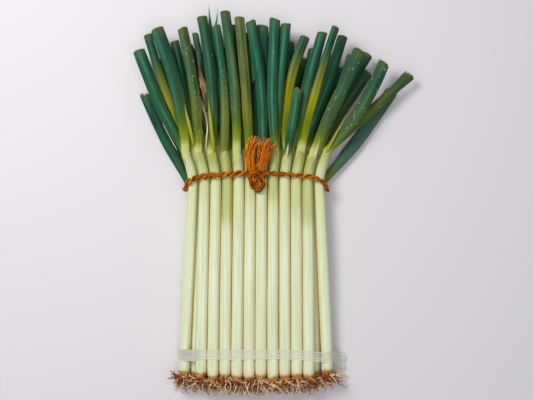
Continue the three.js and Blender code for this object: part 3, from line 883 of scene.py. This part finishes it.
def root_line(onion, draw, reach):
    """The line of one curly root, from the plate outwards, kept off the table."""
    angle = draw.uniform(0, 2 * math.pi)
    ring = math.sqrt(draw.random())
    spot = onion.centre(onion.base_y - 3.4) + Vector((6.4 * ring * math.cos(angle), 0,
                                                      6.4 * ring * math.sin(angle)))
    outward = ring * 0.9
    heading = Vector((
        outward * math.cos(angle) + onion.edge * 0.55 + draw.uniform(-0.75, 0.75),
        -draw.uniform(0.5, 1.1),
        outward * math.sin(angle) + draw.uniform(-0.45, 0.45),
    )).normalized()
    curl = Vector((draw.uniform(-1, 1), draw.uniform(-0.35, 0.5), draw.uniform(-1, 0.6)))
    total = reach * draw.uniform(0.45, 1.0)
    steps = 11
    phase = draw.uniform(0, 100)
    points = [spot.copy()]
    for k in range(steps):
        wave = Vector((noise.noise(Vector((phase, k * 0.33, axis * 5.0))) for axis in range(3)))
        heading = (heading + curl * 0.14 + wave * 0.62).normalized()
        spot = spot + heading * (total / steps)
        low = FLOOR_GAP + 0.2
        if spot.z < low:
            spot.z = low
            heading.z = abs(heading.z) * 0.3
        if spot.y < -27:
            heading.y = abs(heading.y) * 0.5
        if spot.y > onion.base_y + 2:
            heading.y = -abs(heading.y)
        points.append(spot.copy())
    return points


def make_roots(onion, material):
    """The tuft of curly roots of one onion, each root a strand of its own."""
    looks = settings("root_settings")
    draw = random.Random(f"{onion.name} roots")
    shell = Skin()
    extra = 10 if abs(onion.edge) > 0.9 else 0
    for _ in range(looks.strands + extra):
        points = root_line(onion, draw, looks.reach / MM)
        thick = looks.thickness / MM / 2 * draw.uniform(0.7, 1.1)
        last = len(points) - 1
        radii = [thick * mix(1.15, 0.45, k / last) for k in range(last + 1)]
        shade = draw.uniform(0.75, 1.15) if draw.random() < 0.46 else draw.uniform(-0.4, 0.3)
        shell.strand(points, radii, 5, (draw.random(), shade, 0.0))
    # Painted shade: thicker dark strands near the plate stand in for the shadow deep inside the tuft.
    for _ in range(24):
        points = root_line(onion, draw, looks.reach / MM * 0.74)
        last = len(points) - 1
        thick = looks.thickness / MM * draw.uniform(0.60, 0.80)
        radii = [thick * mix(1.0, 0.5, k / last) for k in range(last + 1)]
        shell.strand(points, radii, 5, (draw.random(), draw.uniform(-0.6, -0.1), 0.0))
    return shell.finish(f"{onion.name}_roots", material, [f"{onion.name}_stem"], "shank")


def leaf_line(onion, spec, shift):
    """The middle line of a leaf: points at shares of its length,
    and how far each has settled out of the neck."""
    tip_x, tip_y, _, height, bow = spec
    start = onion.centre(NECK_Y + COLLAR_RISE)
    start.z += shift
    slope = onion.slope(NECK_Y)
    reach = tip_y - start.y
    bend = Vector((start.x + slope * reach * LEAF_BEND + bow, start.y + reach * LEAF_BEND, 0))

    def at(share):
        if share < 0:
            spot = onion.centre(start.y + share * reach)
            spot.z += shift
            return spot, Vector((slope, 1, 0)).normalized()
        rest = 1 - share
        x = rest * rest * start.x + 2 * rest * share * bend.x + share * share * tip_x
        y = rest * rest * start.y + 2 * rest * share * bend.y + share * share * tip_y
        z = mix(start.z, height, ease(share / LEAF_SETTLE))
        dx = 2 * rest * (bend.x - start.x) + 2 * share * (tip_x - bend.x)
        dy = 2 * rest * (bend.y - start.y) + 2 * share * (tip_y - bend.y)
        return Vector((x, y, z)), Vector((dx, dy, 0)).normalized()

    return at, reach


def outer_line(start_x, bend_x, tip):
    """The middle line of an outer leaf, from beside the end shank to its tip."""
    tip_x, tip_y, _, height, _ = tip
    start_y = OUTER_START["y"]
    bend_y = (start_y + tip_y) / 2

    def at(share):
        rest = 1 - share
        x = rest * rest * start_x + 2 * rest * share * bend_x + share * share * tip_x
        y = rest * rest * start_y + 2 * rest * share * bend_y + share * share * tip_y
        dx = 2 * rest * (bend_x - start_x) + 2 * share * (tip_x - bend_x)
        dy = 2 * rest * (bend_y - start_y) + 2 * share * (tip_y - bend_y)
        spot = Vector((x, y, mix(OUTER_START["z"], height, ease(share / LEAF_SETTLE))))
        return spot, Vector((dx, dy, 0)).normalized()

    return at, tip_y - start_y


def make_leaf(name, node, spec, run, foot, below, material):
    """One hollow leaf, from its foot to its cut tip; run gives its middle line, and foot its first width."""
    looks = settings("leaf_settings")
    draw = random.Random(name)
    seed = draw.random()
    look = LEAF_LOOKS.get(name, {})
    bloom = look.get("bloom", draw.uniform(0.15, 0.5))
    yellow = look.get("yellow", draw.choice((0.0, 0.1, 0.2)))
    specks = look.get("specks", draw.uniform(0, 0.25))
    ochre = look.get("ochre", 0.0)
    fray = look.get("fray", draw.uniform(0.1, 0.5))
    slant = look.get("slant", draw.uniform(-1.6, 1.6))
    twist = look.get("twist", draw.uniform(-0.22, 0.22))
    tilt = draw.uniform(-0.16, 0.16) + math.copysign(0.06, spec[0])
    rise = look.get("rise", draw.uniform(-0.9, 0.8))
    ridge_place = draw.uniform(-0.5, 0.1)
    groove_place = ridge_place + draw.choice((-1, 1)) * draw.uniform(0.45, 0.7)
    pinch = draw.uniform(0.45, 0.85)
    rounding = draw.uniform(1.6, 3.0)
    width = spec[2] * (1.0 if below else 1.07)
    at, reach = run
    wall = looks.wall / MM
    deep = looks.hollow / MM / reach
    outer = 40
    rings = [(-0.10, None), (-0.10, 0.0), (-0.05, 0.0)]
    rings += [((k / outer) ** 0.92, 0.0) for k in range(outer + 1)]
    rings += [(1.0, wall * 0.5), (0.997, wall), (1 - deep * 0.4, wall), (1 - deep, wall * 1.2),
              (1 - deep, None)]

    def point_at(angle, ring):
        share, inset = rings[ring]
        centre, heading = at(share)
        settled = ease(share / LEAF_SETTLE)
        full = width * mix(LEAF_BELLY, 1, ease(2 * share - 1))
        half = mix(foot[0], full, settled) / 2
        thick = mix(foot[1], LEAF_THICKNESS, settled) / 2
        thick *= mix(1, pinch, ease((share - 0.78) / 0.22))
        half *= 1 + 0.05 * noise.noise(Vector((seed * 80, share * 5, 1.0))) * settled
        if inset is None:
            half = thick = 0.0
        else:
            half -= inset
            thick -= inset
        cosine, sine = math.cos(angle), math.sin(angle)
        ridge = 0.26 * math.exp(-((cosine - ridge_place) / 0.20) ** 2) * max(sine, 0)
        groove = 0.20 * math.exp(-((cosine - groove_place) / 0.22) ** 2) * max(sine, 0)
        x = half * cosine
        z = thick * (0.92 * sine + (ridge - groove) * settled)
        turn = tilt * settled + twist * ease((share - 0.15) / 0.85)
        x, z = x * math.cos(turn) - z * math.sin(turn), x * math.sin(turn) + z * math.cos(turn)
        side = Vector((heading.y, -heading.x, 0))
        cut = ease((share - 0.86) / 0.14)
        jag = noise.noise(Vector((cosine * 2.4, sine * 2.4 + seed * 30, 0.5)))
        push = cut * (-rounding * abs(cosine) ** 3.5 + slant * cosine + fray * jag * 2.2)
        spread = (1 + cut * look.get("flare", 0.0)
                  + cut * 0.06 * fray * noise.noise(Vector((cosine * 3, seed * 20, 2.0))))
        sway = noise.noise(Vector((seed * 60, share * 2.2, 5.0))) * 1.6 * ease(share * 1.6)
        lift = noise.noise(Vector((seed * 60, share * 2.6, 8.0))) * 1.0 * ease(share * 1.6)
        spot = centre + side * (x * spread + sway) + heading * push
        spot.z = max(spot.z + z + lift, FLOOR_GAP)
        to_tip = (1 - share) * reach * MM if ring < outer + 3 else 0.0
        marks = (cosine, sine, (share * reach + COLLAR_RISE + 60 * look.get("green_foot", 0)) * MM)
        scorch = (look.get("scorch", 0.0) * ease(1.3 - abs(share - 0.64) / 0.2)
                  * math.exp(-((cosine - 0.15) / 0.3) ** 2))
        # ridge_highlight marks where the painted highlight runs along the ridge.
        ridge_highlight = math.exp(-((cosine - ridge_place) / 0.24) ** 2) * ease(sine * 2)
        # flank_shade marks the side past the ridge where the painted shade darkens the leaf.
        flank_shade = ease((cosine - ridge_place - 0.30) / 0.55)
        wear = (specks, max(ochre, scorch), bloom)
        return spot, marks, (seed, yellow, to_tip), wear, (ridge_highlight, flank_shade, rise)

    shell = Skin()
    shell.roll(28, len(rings) - 1, point_at)
    return shell.finish(name, material, [node], "leaf")


def nearest_leaves(x):
    """The leaves' CAD node of the top-row onion whose neck is nearest to an X."""
    return min(ONIONS[:12], key=lambda onion: abs(onion.centre(NECK_Y).x - x)).name + "_leaves"


def make_strip(name, material):
    """One loose strip of leaf: a thin curling blade that tapers at both ends."""
    points, width, kind = STRIPS[name]
    draw = random.Random(name)
    seed = draw.random()
    tones = {"green": (seed, 0.0, 0.0), "yellow": (seed, 0.5, 0.0), "dry": (seed, 1.0, 0.0),
             "cream": (seed, 1.0, 1.0)}
    line = curve_through([Vector(point) for point in points], 2.5)
    frames = line_frames(line)
    last = len(line) - 1
    lean = draw.uniform(-0.4, 0.4)
    ragged = 0.32 if kind in ("dry", "cream") else 0.08

    def point_at(angle, ring):
        k = int(clamp(ring - 1, 0, last))
        share = k / last
        centre, side, up = frames[k]
        taper = ease(share / 0.50 + 0.02) * ease((1 - share) / 0.10 + 0.25)
        half = width / 2 * taper if 0 < ring < last + 2 else 0.0
        half *= 1 + ragged * noise.noise(Vector((seed * 40 + math.copysign(3, math.cos(angle)),
                                                 k * 0.35, 0)))
        thick = 0.45 if half > 0 else 0.0
        x = half * math.cos(angle)
        curl = 0.28 * x * x / max(width, 1e-6) * 2
        z = thick * math.sin(angle) - curl
        turn = lean + (0.9 if kind in ("dry", "cream") else 0.3) * math.sin(share * 5 + seed * 6)
        x, z = x * math.cos(turn) - z * math.sin(turn), x * math.sin(turn) + z * math.cos(turn)
        return centre + side * x + up * z, (math.cos(angle), math.sin(angle),
                                            share), tones[kind], (0, 0, 0)

    shell = Skin()
    shell.roll(12, last + 2, point_at)
    return shell.finish(name, material, [nearest_leaves(points[-1][0])], "leaf")


def rope_strands(shell, line, outward, halves, draw, turns_from=0.0):
    """Two twisted strands of straw along a line; outward and halves give its section at each point."""
    looks = settings("rope_settings")
    lay = looks.lay / MM
    last = len(line) - 1
    walked = [0.0]
    for first, second in zip(line, line[1:]):
        walked.append(walked[-1] + (second - first).length)
    for strand in range(2):
        for fibre in range(looks.fibres + 1):
            seed, shade = draw.random(), draw.uniform(-0.1, 1.0)
            own = draw.uniform(0, 2 * math.pi)
            core = fibre == looks.fibres
            points, radii = [], []
            for k, spot in enumerate(line):
                heading = (line[min(k + 1, last)] - line[max(k - 1, 0)]).normalized()
                out = (outward[k] - heading * outward[k].dot(heading)).normalized()
                side = heading.cross(out)
                wide, high = halves[k]
                angle = walked[k] / lay * 2 * math.pi + strand * math.pi + turns_from
                spin = angle * 1.35 + 2 * math.pi * fibre / looks.fibres + own * 0.15
                loose = 0.0 if core else 0.27 + 0.10 * noise.noise(Vector((seed * 50,
                                                                           walked[k] * 0.16, 0)))
                a = 0.47 * math.cos(angle) + loose * math.cos(spin)
                b = 0.47 * math.sin(angle) + loose * math.sin(spin)
                point = spot + side * (wide * a) + out * (high * b)
                point.z = max(point.z, FLOOR_GAP)
                points.append(point)
                base = 0.30 if core else 0.185
                radii.append(wide * base * (1 + 0.5 * noise.noise(Vector((seed * 50,
                                                                          walked[k] * 0.2, 4)))))
            shell.strand(points, radii, 5, (seed, shade * 0.8 if not core else 0.0, 0.0), 0.8)


def rope_run():
    """The run of the rope round the bunch: its line, its outward directions and its half sizes."""
    outline = outline_round(ROPE_SIDE_Y, ROPE_CLEARANCE + ROPE_HALF)
    top_z = max(point[1] for point in outline)
    first = next(k for k, point in enumerate(outline) if point[1] > top_z - 0.01 and point[0] < KNOT_X)
    corners = [(KNOT_X, top_z), *outline[first:], *outline[:first], (KNOT_X, top_z)]
    flat = evenly([Vector((x, 0, z)) for x, z in corners], 2.4)
    line, outward, halves = [], [], []
    last = len(flat) - 1
    for k, spot in enumerate(flat):
        under = 1 - ease((spot.z - 2) / 6)
        heading = (flat[min(k + 1, last)] - flat[max(k - 1, 0)]).normalized()
        out = Vector((heading.z, 0, -heading.x))
        line.append(Vector((spot.x, rope_y(spot.x, spot.z, top_z),
                            spot.z + under * (ROPE_HALF - ROPE_FLAT_HALF))))
        outward.append(out)
        halves.append((mix(ROPE_HALF + 0.8, ROPE_WIDE_HALF, under),
                       mix(ROPE_HALF + 0.6, ROPE_FLAT_HALF, under)))
    return line, outward, halves, top_z


def loose_straws(shell, line, outward, halves, count, draw):
    """Short straw ends that stand out of the rope."""
    last = len(line) - 1
    for _ in range(count):
        k = draw.randrange(3, last - 3)
        if line[k].z < 12:
            continue
        heading = (line[k + 1] - line[k]).normalized()
        if draw.random() < 0.5:
            heading = -heading
        side = heading.cross(outward[k])
        lift = outward[k] * draw.uniform(0.1, 0.5) + side * draw.uniform(-0.6, 0.6)
        start = line[k] + (outward[k] + side * draw.uniform(-1, 1)).normalized() * halves[k][0] * 0.8
        size = draw.uniform(3, 7)
        points = [start + heading * size * t + lift * size * t * t for t in (0, 0.35, 0.7, 1)]
        shell.strand(points, (0.45, 0.42, 0.36, 0.22), 4, (draw.random(), draw.uniform(0.5, 1), 1.0), 0.6)


def make_rope(material):
    """The twisted run of straw rope round the bunch."""
    draw = random.Random("rope run")
    line, outward, halves, _ = rope_run()
    fuller = [1 + 0.30 * ease((-10 - spot.x) / 20) * ease((spot.z - 26) / 8) for spot in line]
    halves = [(wide * more, high) for (wide, high), more in zip(halves, fuller)]
    shell = Skin()
    rope_strands(shell, line, outward, halves, draw)
    loose_straws(shell, line, outward, halves, 70, draw)
    return shell.finish("rope_run", material, ["straw_rope"], "straw")


def rope_piece(shell, points, half, draw, turns_from=0.0):
    line = curve_through([Vector(point) for point in points], 2.0)
    outward = [Vector((0, 0, 1))] * len(line)
    rope_strands(shell, line, outward, [(half, half)] * len(line), draw, turns_from)


def make_knot(material):
    """The knot: the rope's two ends crossing over and under, and the bight that hangs below them."""
    draw = random.Random("knot")
    top = rope_run()[3]
    y = ROPE_FRONT_Y
    shell = Skin()
    rope_piece(shell, ((-13, y - 2, top - 1), (-6, y - 4, top + 3), (1, y + 1, top + 5.5),
                       (8, y + 5, top + 4),
                       (13, y + 7, top + 1)), 4.0, draw)
    rope_piece(shell, ((-12, y + 6, top), (-6, y + 3, top + 4), (2, y - 1, top + 6), (9, y - 4, top + 4),
                       (15, y - 3, top - 1)), 3.8, draw, 1.3)
    rope_piece(shell, ((-6, y + 4, top + 1), (-8.5, y - 5, top + 3), (-8, y - 14, top + 2.2),
                       (-3, y - 23, top + 1),
                       (4, y - 26, top + 1), (10.5, y - 21, top + 1.4), (12, y - 12, top + 2.4),
                       (9.5, y - 4, top + 3.2), (6, y + 4, top + 1)), 4.0, draw, 0.5)
    rope_piece(shell, ((-2.5, y - 3, top + 1), (-2.5, y - 10, top + 3), (0.5, y - 16, top + 3),
                       (4.5, y - 16.5, top + 3),
                       (6.8, y - 11, top + 3.4), (5.5, y - 4, top + 2)), 3.4, draw, 2.2)
    rope_piece(shell, ((1, y - 6, top + 3), (-4, y - 13, top + 3.2), (0.5, y - 20, top + 2.4),
                       (6, y - 17, top + 2.6),
                       (7, y - 9, top + 3.4), (3, y - 5, top + 3.4)), 3.2, draw, 1.7)
    rope_piece(shell, ((-10, y + 7, top + 1), (-4, y + 9, top + 3.5), (2, y + 8, top + 4.5),
                       (9, y + 9.5, top + 3),
                       (12, y + 11, top + 1)), 3.2, draw, 0.9)
    for _ in range(34):
        angle = draw.uniform(0, 2 * math.pi)
        start = Vector((KNOT_X + 7 * math.cos(angle), y - 5 + 9 * math.sin(angle), top + 4))
        out = Vector((math.cos(angle), math.sin(angle), draw.uniform(-0.2, 0.5))) * draw.uniform(4, 10)
        points = [start, start + out * 0.5 + Vector((0, 0, 1)), start + out]
        shell.strand(points, (0.5, 0.45, 0.25), 4, (draw.random(), draw.uniform(0.4, 1), 1.0), 0.6)
    return shell.finish("rope_knot", material, ["straw_rope"], "straw")


def make_tuft_half(name, foot, head, half_widths, count, bow, material):
    """Half of the frayed tuft: cut straws that fan out of the knot."""
    draw = random.Random(name)
    shell = Skin()
    foot, head = Vector(foot), Vector(head)
    run = head - foot
    heading = run.normalized()
    side = Vector((heading.y, -heading.x, 0)).normalized()
    for _ in range(count):
        across = draw.uniform(-1, 1)
        high = draw.uniform(-1, 1) * math.sqrt(1 - across * across)
        size = draw.uniform(0.74, 1.0) - 0.12 * across * across
        if draw.random() < 0.28:
            size *= draw.uniform(0.35, 0.85)
        seed = draw.random()
        # Straws low in the tuft get a darker tone: painted shade.
        shade = draw.uniform(0.05, 1.15) - 0.6 * max(-high, 0)
        cut = 1.0 if draw.random() < 0.3 else 0.15
        wild = draw.uniform(-1, 1) * (2.2 if draw.random() < 0.25 else 1.0)
        crossing = draw.uniform(-1.2, 0.4) * across if draw.random() < 0.3 else 0.0
        points = []
        for k in range(8):
            t = k / 7
            wide = mix(half_widths[0], half_widths[1], t * size)
            drift = (noise.noise(Vector((seed * 90, t * 3.8, 0))) * 5.4 * t
                     + wild * 2.4 * t * t + crossing * wide * t)
            middle = foot + run * (t * size) + side * (bow * math.sin(math.pi * t * size))
            rise = noise.noise(Vector((seed * 90, t * 2.4, 7))) * 1.6 * t
            points.append(middle + side * (across * wide + drift) + Vector((0, 0, high * 3.6 + rise)))
        thick = draw.uniform(0.42, 0.9)
        radii = [thick * mix(1.0, 0.75, k / 7) for k in range(8)]
        shell.strand(points, radii, 5, (seed, shade, cut), draw.uniform(0.35, 0.7))
    return shell.finish(name, material, ["straw_rope"], "straw")


def make_band(material):
    """The taut film round the shanks: a thin ring with creases that run round it."""
    looks = settings("film_settings")
    outline = outline_round(BAND_Y, FILM_CLEARANCE)
    ring_line = evenly([Vector((x, 0, z)) for x, z in outline + outline[:1]], 3.0)[:-1]
    count = len(ring_line)
    thick = looks.thickness / MM
    across_steps = 26

    def film_edges(x, top):
        """The two edges of the film along Y: it slants down towards its tail."""
        dip = 5.5 * ease((x - 62) / 50) if top else 0.0
        fold = 3.5 * ease((-80 - x) / 12) if top else 0.0
        return BAND_Y - BAND_WIDTH / 2 - dip - fold * 0.8, BAND_Y + BAND_WIDTH / 2 - dip - fold * 0.2

    def point_at(angle, ring):
        k = ring % count
        spot = ring_line[k]
        heading = (ring_line[(k + 1) % count] - ring_line[k - 1]).normalized()
        out = Vector((heading.z, 0, -heading.x))
        top = spot.z > 22
        share = angle / (2 * math.pi)
        inner = share > 0.5
        across = 2 * share if not inner else 2 * (1 - share)
        low, high = film_edges(spot.x, top)
        drift = 0.8 * noise.noise(Vector((spot.x * 0.03, 0, spot.z * 0.05)))
        y = mix(low, high, across) + drift
        wander = 0.12 * noise.noise(Vector((spot.x * 0.02, 5, 0)))
        # The creases lift the film and also mark where its painted highlight lines run.
        crease_and_sheen = 0.0
        for line_place, reach in ((0.30, 0.045), (0.94, 0.035), (0.05, 0.05)):
            crease_and_sheen = max(crease_and_sheen, math.exp(-((across - line_place - wander) / reach) ** 2))
        pucker = 0.35 * noise.noise(Vector((spot.x * 0.16, across * 4, spot.z * 0.2)))
        lift = 0.45 * crease_and_sheen + max(pucker, 0) + (0 if inner else thick)
        if spot.z < 2:
            lift = 0 if not inner else -thick
        point = Vector((spot.x, y, spot.z)) + out * lift
        point.z = max(point.z, 0.0 if not inner else 0.1)
        folded = ease((-82 - spot.x) / 6) if top else 0.0
        return point, (across, 0.0, k / count), (0.3, folded, crease_and_sheen), (0, 0, 0)

    shell = Skin()
    shell.roll(across_steps * 2, count, point_at)
    return shell.finish("film_band", material, ["clear_band"], "film")


def make_tail(material):
    """The crumpled free end of the film, from the right edge of the band down to the table."""
    looks = settings("film_settings")
    thick = looks.thickness / MM
    edge = max(point[0] for point in outline_round(BAND_Y, FILM_CLEARANCE))
    rows = 22
    sides = 48

    def point_at(angle, ring):
        run = clamp((ring - 1) / (rows - 2))
        share = angle / (2 * math.pi)
        inner = share > 0.5
        across = 2 * share if not inner else 2 * (1 - share)
        low_y = mix(BAND_Y - 6, -2, ease(run * 1.1))
        high_y = mix(BAND_Y + 6, BAND_Y + 3 - 8 * run, run)
        y = mix(low_y, high_y, across)
        x = edge - 6 + 27 * run - 3 * (1 - across) * run
        fold = math.sin(across * 13 + run * 3) * 2.2 * run + math.sin(across * 29 + run * 8) * 0.8 * run
        crumple = noise.noise(Vector((x * 0.22, y * 0.22, 3))) * 3.2 * run
        z = mix(END_ONION["base_z"] + 8.6, 3.4, ease(run * 1.15)) + fold + crumple
        if 0 < ring < rows:
            z += -thick / 2 if inner else thick / 2
        if ring in (0, rows):
            y = mix(low_y, high_y, 0.5 + (across - 0.5))
        # The folds of the tail carry the same painted highlight lines.
        crease_and_sheen = clamp(abs(fold + crumple) * 0.28)
        return Vector((x, y, max(z, 0.3))), (across, 0.0, run), (0.7, 0.25, crease_and_sheen), (0, 0, 0)

    shell = Skin()
    shell.roll(sides, rows, point_at)
    return shell.finish("film_tail", material, ["clear_band"], "film")


def aim(thing, target):
    """Turns a light or a camera to look at a point."""
    heading = Vector(target) - thing.location
    thing.rotation_euler = heading.to_track_quat("-Z", "Y").to_euler()


def add_light(name, location, size, power, tint, target):
    data = bpy.data.lights.new(name, "AREA")
    data.shape = "DISK"
    data.size = size
    data.energy = power
    data.color = tint
    lamp = bpy.data.objects.new(name, data)
    lamp.location = location
    bpy.context.scene.collection.objects.link(lamp)
    aim(lamp, target)


class ONIONS_OT_shanks(bpy.types.Operator):
    """Build the white shanks and their root plates"""

    bl_idname = "onions.shanks"
    bl_label = "Shanks"

    def execute(self, context):
        shank, plate = shank_finish(), root_finish()
        for onion in ONIONS:
            make_shank(onion, shank)
            make_plate(onion, plate)
        return {"FINISHED"}


class ONIONS_OT_roots(bpy.types.Operator):
    """Build the curly roots"""

    bl_idname = "onions.roots"
    bl_label = "Roots"

    def execute(self, context):
        material = root_finish()
        for onion in ONIONS:
            make_roots(onion, material)
        return {"FINISHED"}


class ONIONS_OT_leaves(bpy.types.Operator):
    """Build the hollow green leaves"""

    bl_idname = "onions.leaves"
    bl_label = "Leaves"

    def execute(self, context):
        material = leaf_finish()
        for onion in ONIONS:
            order = sorted(range(len(onion.leaves)), key=lambda i: onion.leaves[i][3])
            for level, i in enumerate(order):
                shift = 8 * (level / (len(order) - 1) - 0.5)
                spec = onion.leaves[i]
                run = leaf_line(onion, spec, shift)
                foot = (LEAF_NECK_WIDTH, LEAF_NECK_THICKNESS)
                name = f"{onion.name}_leaf_{i + 1}"
                make_leaf(name, f"{onion.name}_leaves", spec, run, foot, onion.rope_z < 20, material)
        for name, (start_x, bend_x, tip) in OUTER_LEAVES.items():
            foot = (OUTER_START["width"], OUTER_START["thickness"])
            make_leaf(name, name, tip, outer_line(start_x, bend_x, tip), foot, False, material)
        return {"FINISHED"}


class ONIONS_OT_strips(bpy.types.Operator):
    """Build the loose strips and slivers among the leaves"""

    bl_idname = "onions.strips"
    bl_label = "Loose Strips"

    def execute(self, context):
        material = strip_finish()
        for name in STRIPS:
            make_strip(name, material)
        return {"FINISHED"}


class ONIONS_OT_rope(bpy.types.Operator):
    """Build the straw rope, its knot and its frayed tuft"""

    bl_idname = "onions.rope"
    bl_label = "Straw Rope"

    def execute(self, context):
        looks = settings("rope_settings")
        material = straw_finish()
        make_rope(material)
        make_knot(material)
        top = rope_run()[3]
        y = ROPE_FRONT_Y
        left = ((-8, y + 3, top + 3), (-0.5, y + 57, top + 8))
        right = ((6, y + 2, top + 3), (16.5, y + 54, top + 8))
        make_tuft_half("rope_tuft_left", *left, (6.5, 7.0), looks.tuft, -4.5, material)
        make_tuft_half("rope_tuft_right", *right, (5.5, 11.5), looks.tuft + 45, 1.5, material)
        return {"FINISHED"}


class ONIONS_OT_film(bpy.types.Operator):
    """Build the film band and its crumpled tail"""

    bl_idname = "onions.film"
    bl_label = "Film Band"

    def execute(self, context):
        material = film_finish()
        make_band(material)
        make_tail(material)
        return {"FINISHED"}


class ONIONS_OT_stage(bpy.types.Operator):
    """Set up the floor, the soft light and the camera"""

    bl_idname = "onions.stage"
    bl_label = "Stage"

    def execute(self, context):
        looks = settings("stage_settings")
        scene = context.scene
        shell = bmesh.new()
        bmesh.ops.create_grid(shell, x_segments=2, y_segments=2, size=3.0)
        bmesh.ops.translate(shell, verts=shell.verts, vec=(0, 0, -0.0002))
        data = bpy.data.meshes.new("floor")
        shell.to_mesh(data)
        shell.free()
        data.materials.append(floor_finish())
        floor = bpy.data.objects.new("floor", data)
        scene.collection.objects.link(floor)

        world = bpy.data.worlds.new("soft_sky")
        world.use_nodes = True
        sky = world.node_tree.nodes["Background"]
        sky.inputs["Color"].default_value = (0.97, 0.97, 1.0, 1.0)
        sky.inputs["Strength"].default_value = looks.sky
        scene.world = world
        add_light("key_light", (-0.75, 0.75, 1.35), 0.7, looks.key, (1.0, 0.98, 0.95), (0, 0, 0))
        add_light("top_light", (0.1, -0.4, 1.9), 1.6, looks.key * 0.5, (1.0, 1.0, 1.0), (0, 0, 0))

        data = bpy.data.cameras.new("camera")
        data.sensor_width = 36.0
        data.lens = looks.lens
        data.clip_end = 10.0
        camera = bpy.data.objects.new("camera", data)
        camera.location = place(Vector((15.75, 264.0, 0)))
        camera.location.z = looks.camera_height
        scene.collection.objects.link(camera)
        scene.camera = camera
        scene.view_settings.view_transform = "Standard"
        return {"FINISHED"}


OPERATORS = (
    ONIONS_OT_stage,
    ONIONS_OT_shanks,
    ONIONS_OT_roots,
    ONIONS_OT_leaves,
    ONIONS_OT_strips,
    ONIONS_OT_rope,
    ONIONS_OT_film,
)
SETTINGS = {
    "shank_settings": ShankSettings,
    "root_settings": RootSettings,
    "leaf_settings": LeafSettings,
    "rope_settings": RopeSettings,
    "film_settings": FilmSettings,
    "stage_settings": StageSettings,
}


class ONIONS_PT_panel(bpy.types.Panel):
    """Lists the pieces of the bunch and their settings"""

    bl_label = "Spring Onion Bunch"
    bl_idname = "ONIONS_PT_panel"
    bl_space_type = "VIEW_3D"
    bl_region_type = "UI"
    bl_category = "Onions"

    def draw(self, context):
        for operator in OPERATORS:
            self.layout.operator(operator.bl_idname)
        for name, group in SETTINGS.items():
            box = self.layout.box()
            box.label(text=group.__doc__)
            for key in group.__annotations__:
                box.prop(getattr(context.scene, name), key)


def register():
    for group in (*SETTINGS.values(), *OPERATORS, ONIONS_PT_panel):
        bpy.utils.register_class(group)
    for name, group in SETTINGS.items():
        setattr(bpy.types.Scene, name, PointerProperty(type=group))


def unregister():
    for name in SETTINGS:
        delattr(bpy.types.Scene, name)
    for group in (ONIONS_PT_panel, *OPERATORS[::-1], *SETTINGS.values()):
        bpy.utils.unregister_class(group)


def main():
    register()
    bpy.ops.onions.stage()
    bpy.ops.onions.shanks()
    bpy.ops.onions.roots()
    bpy.ops.onions.leaves()
    bpy.ops.onions.strips()
    bpy.ops.onions.rope()
    bpy.ops.onions.film()


if __name__ == "__main__":
    main()
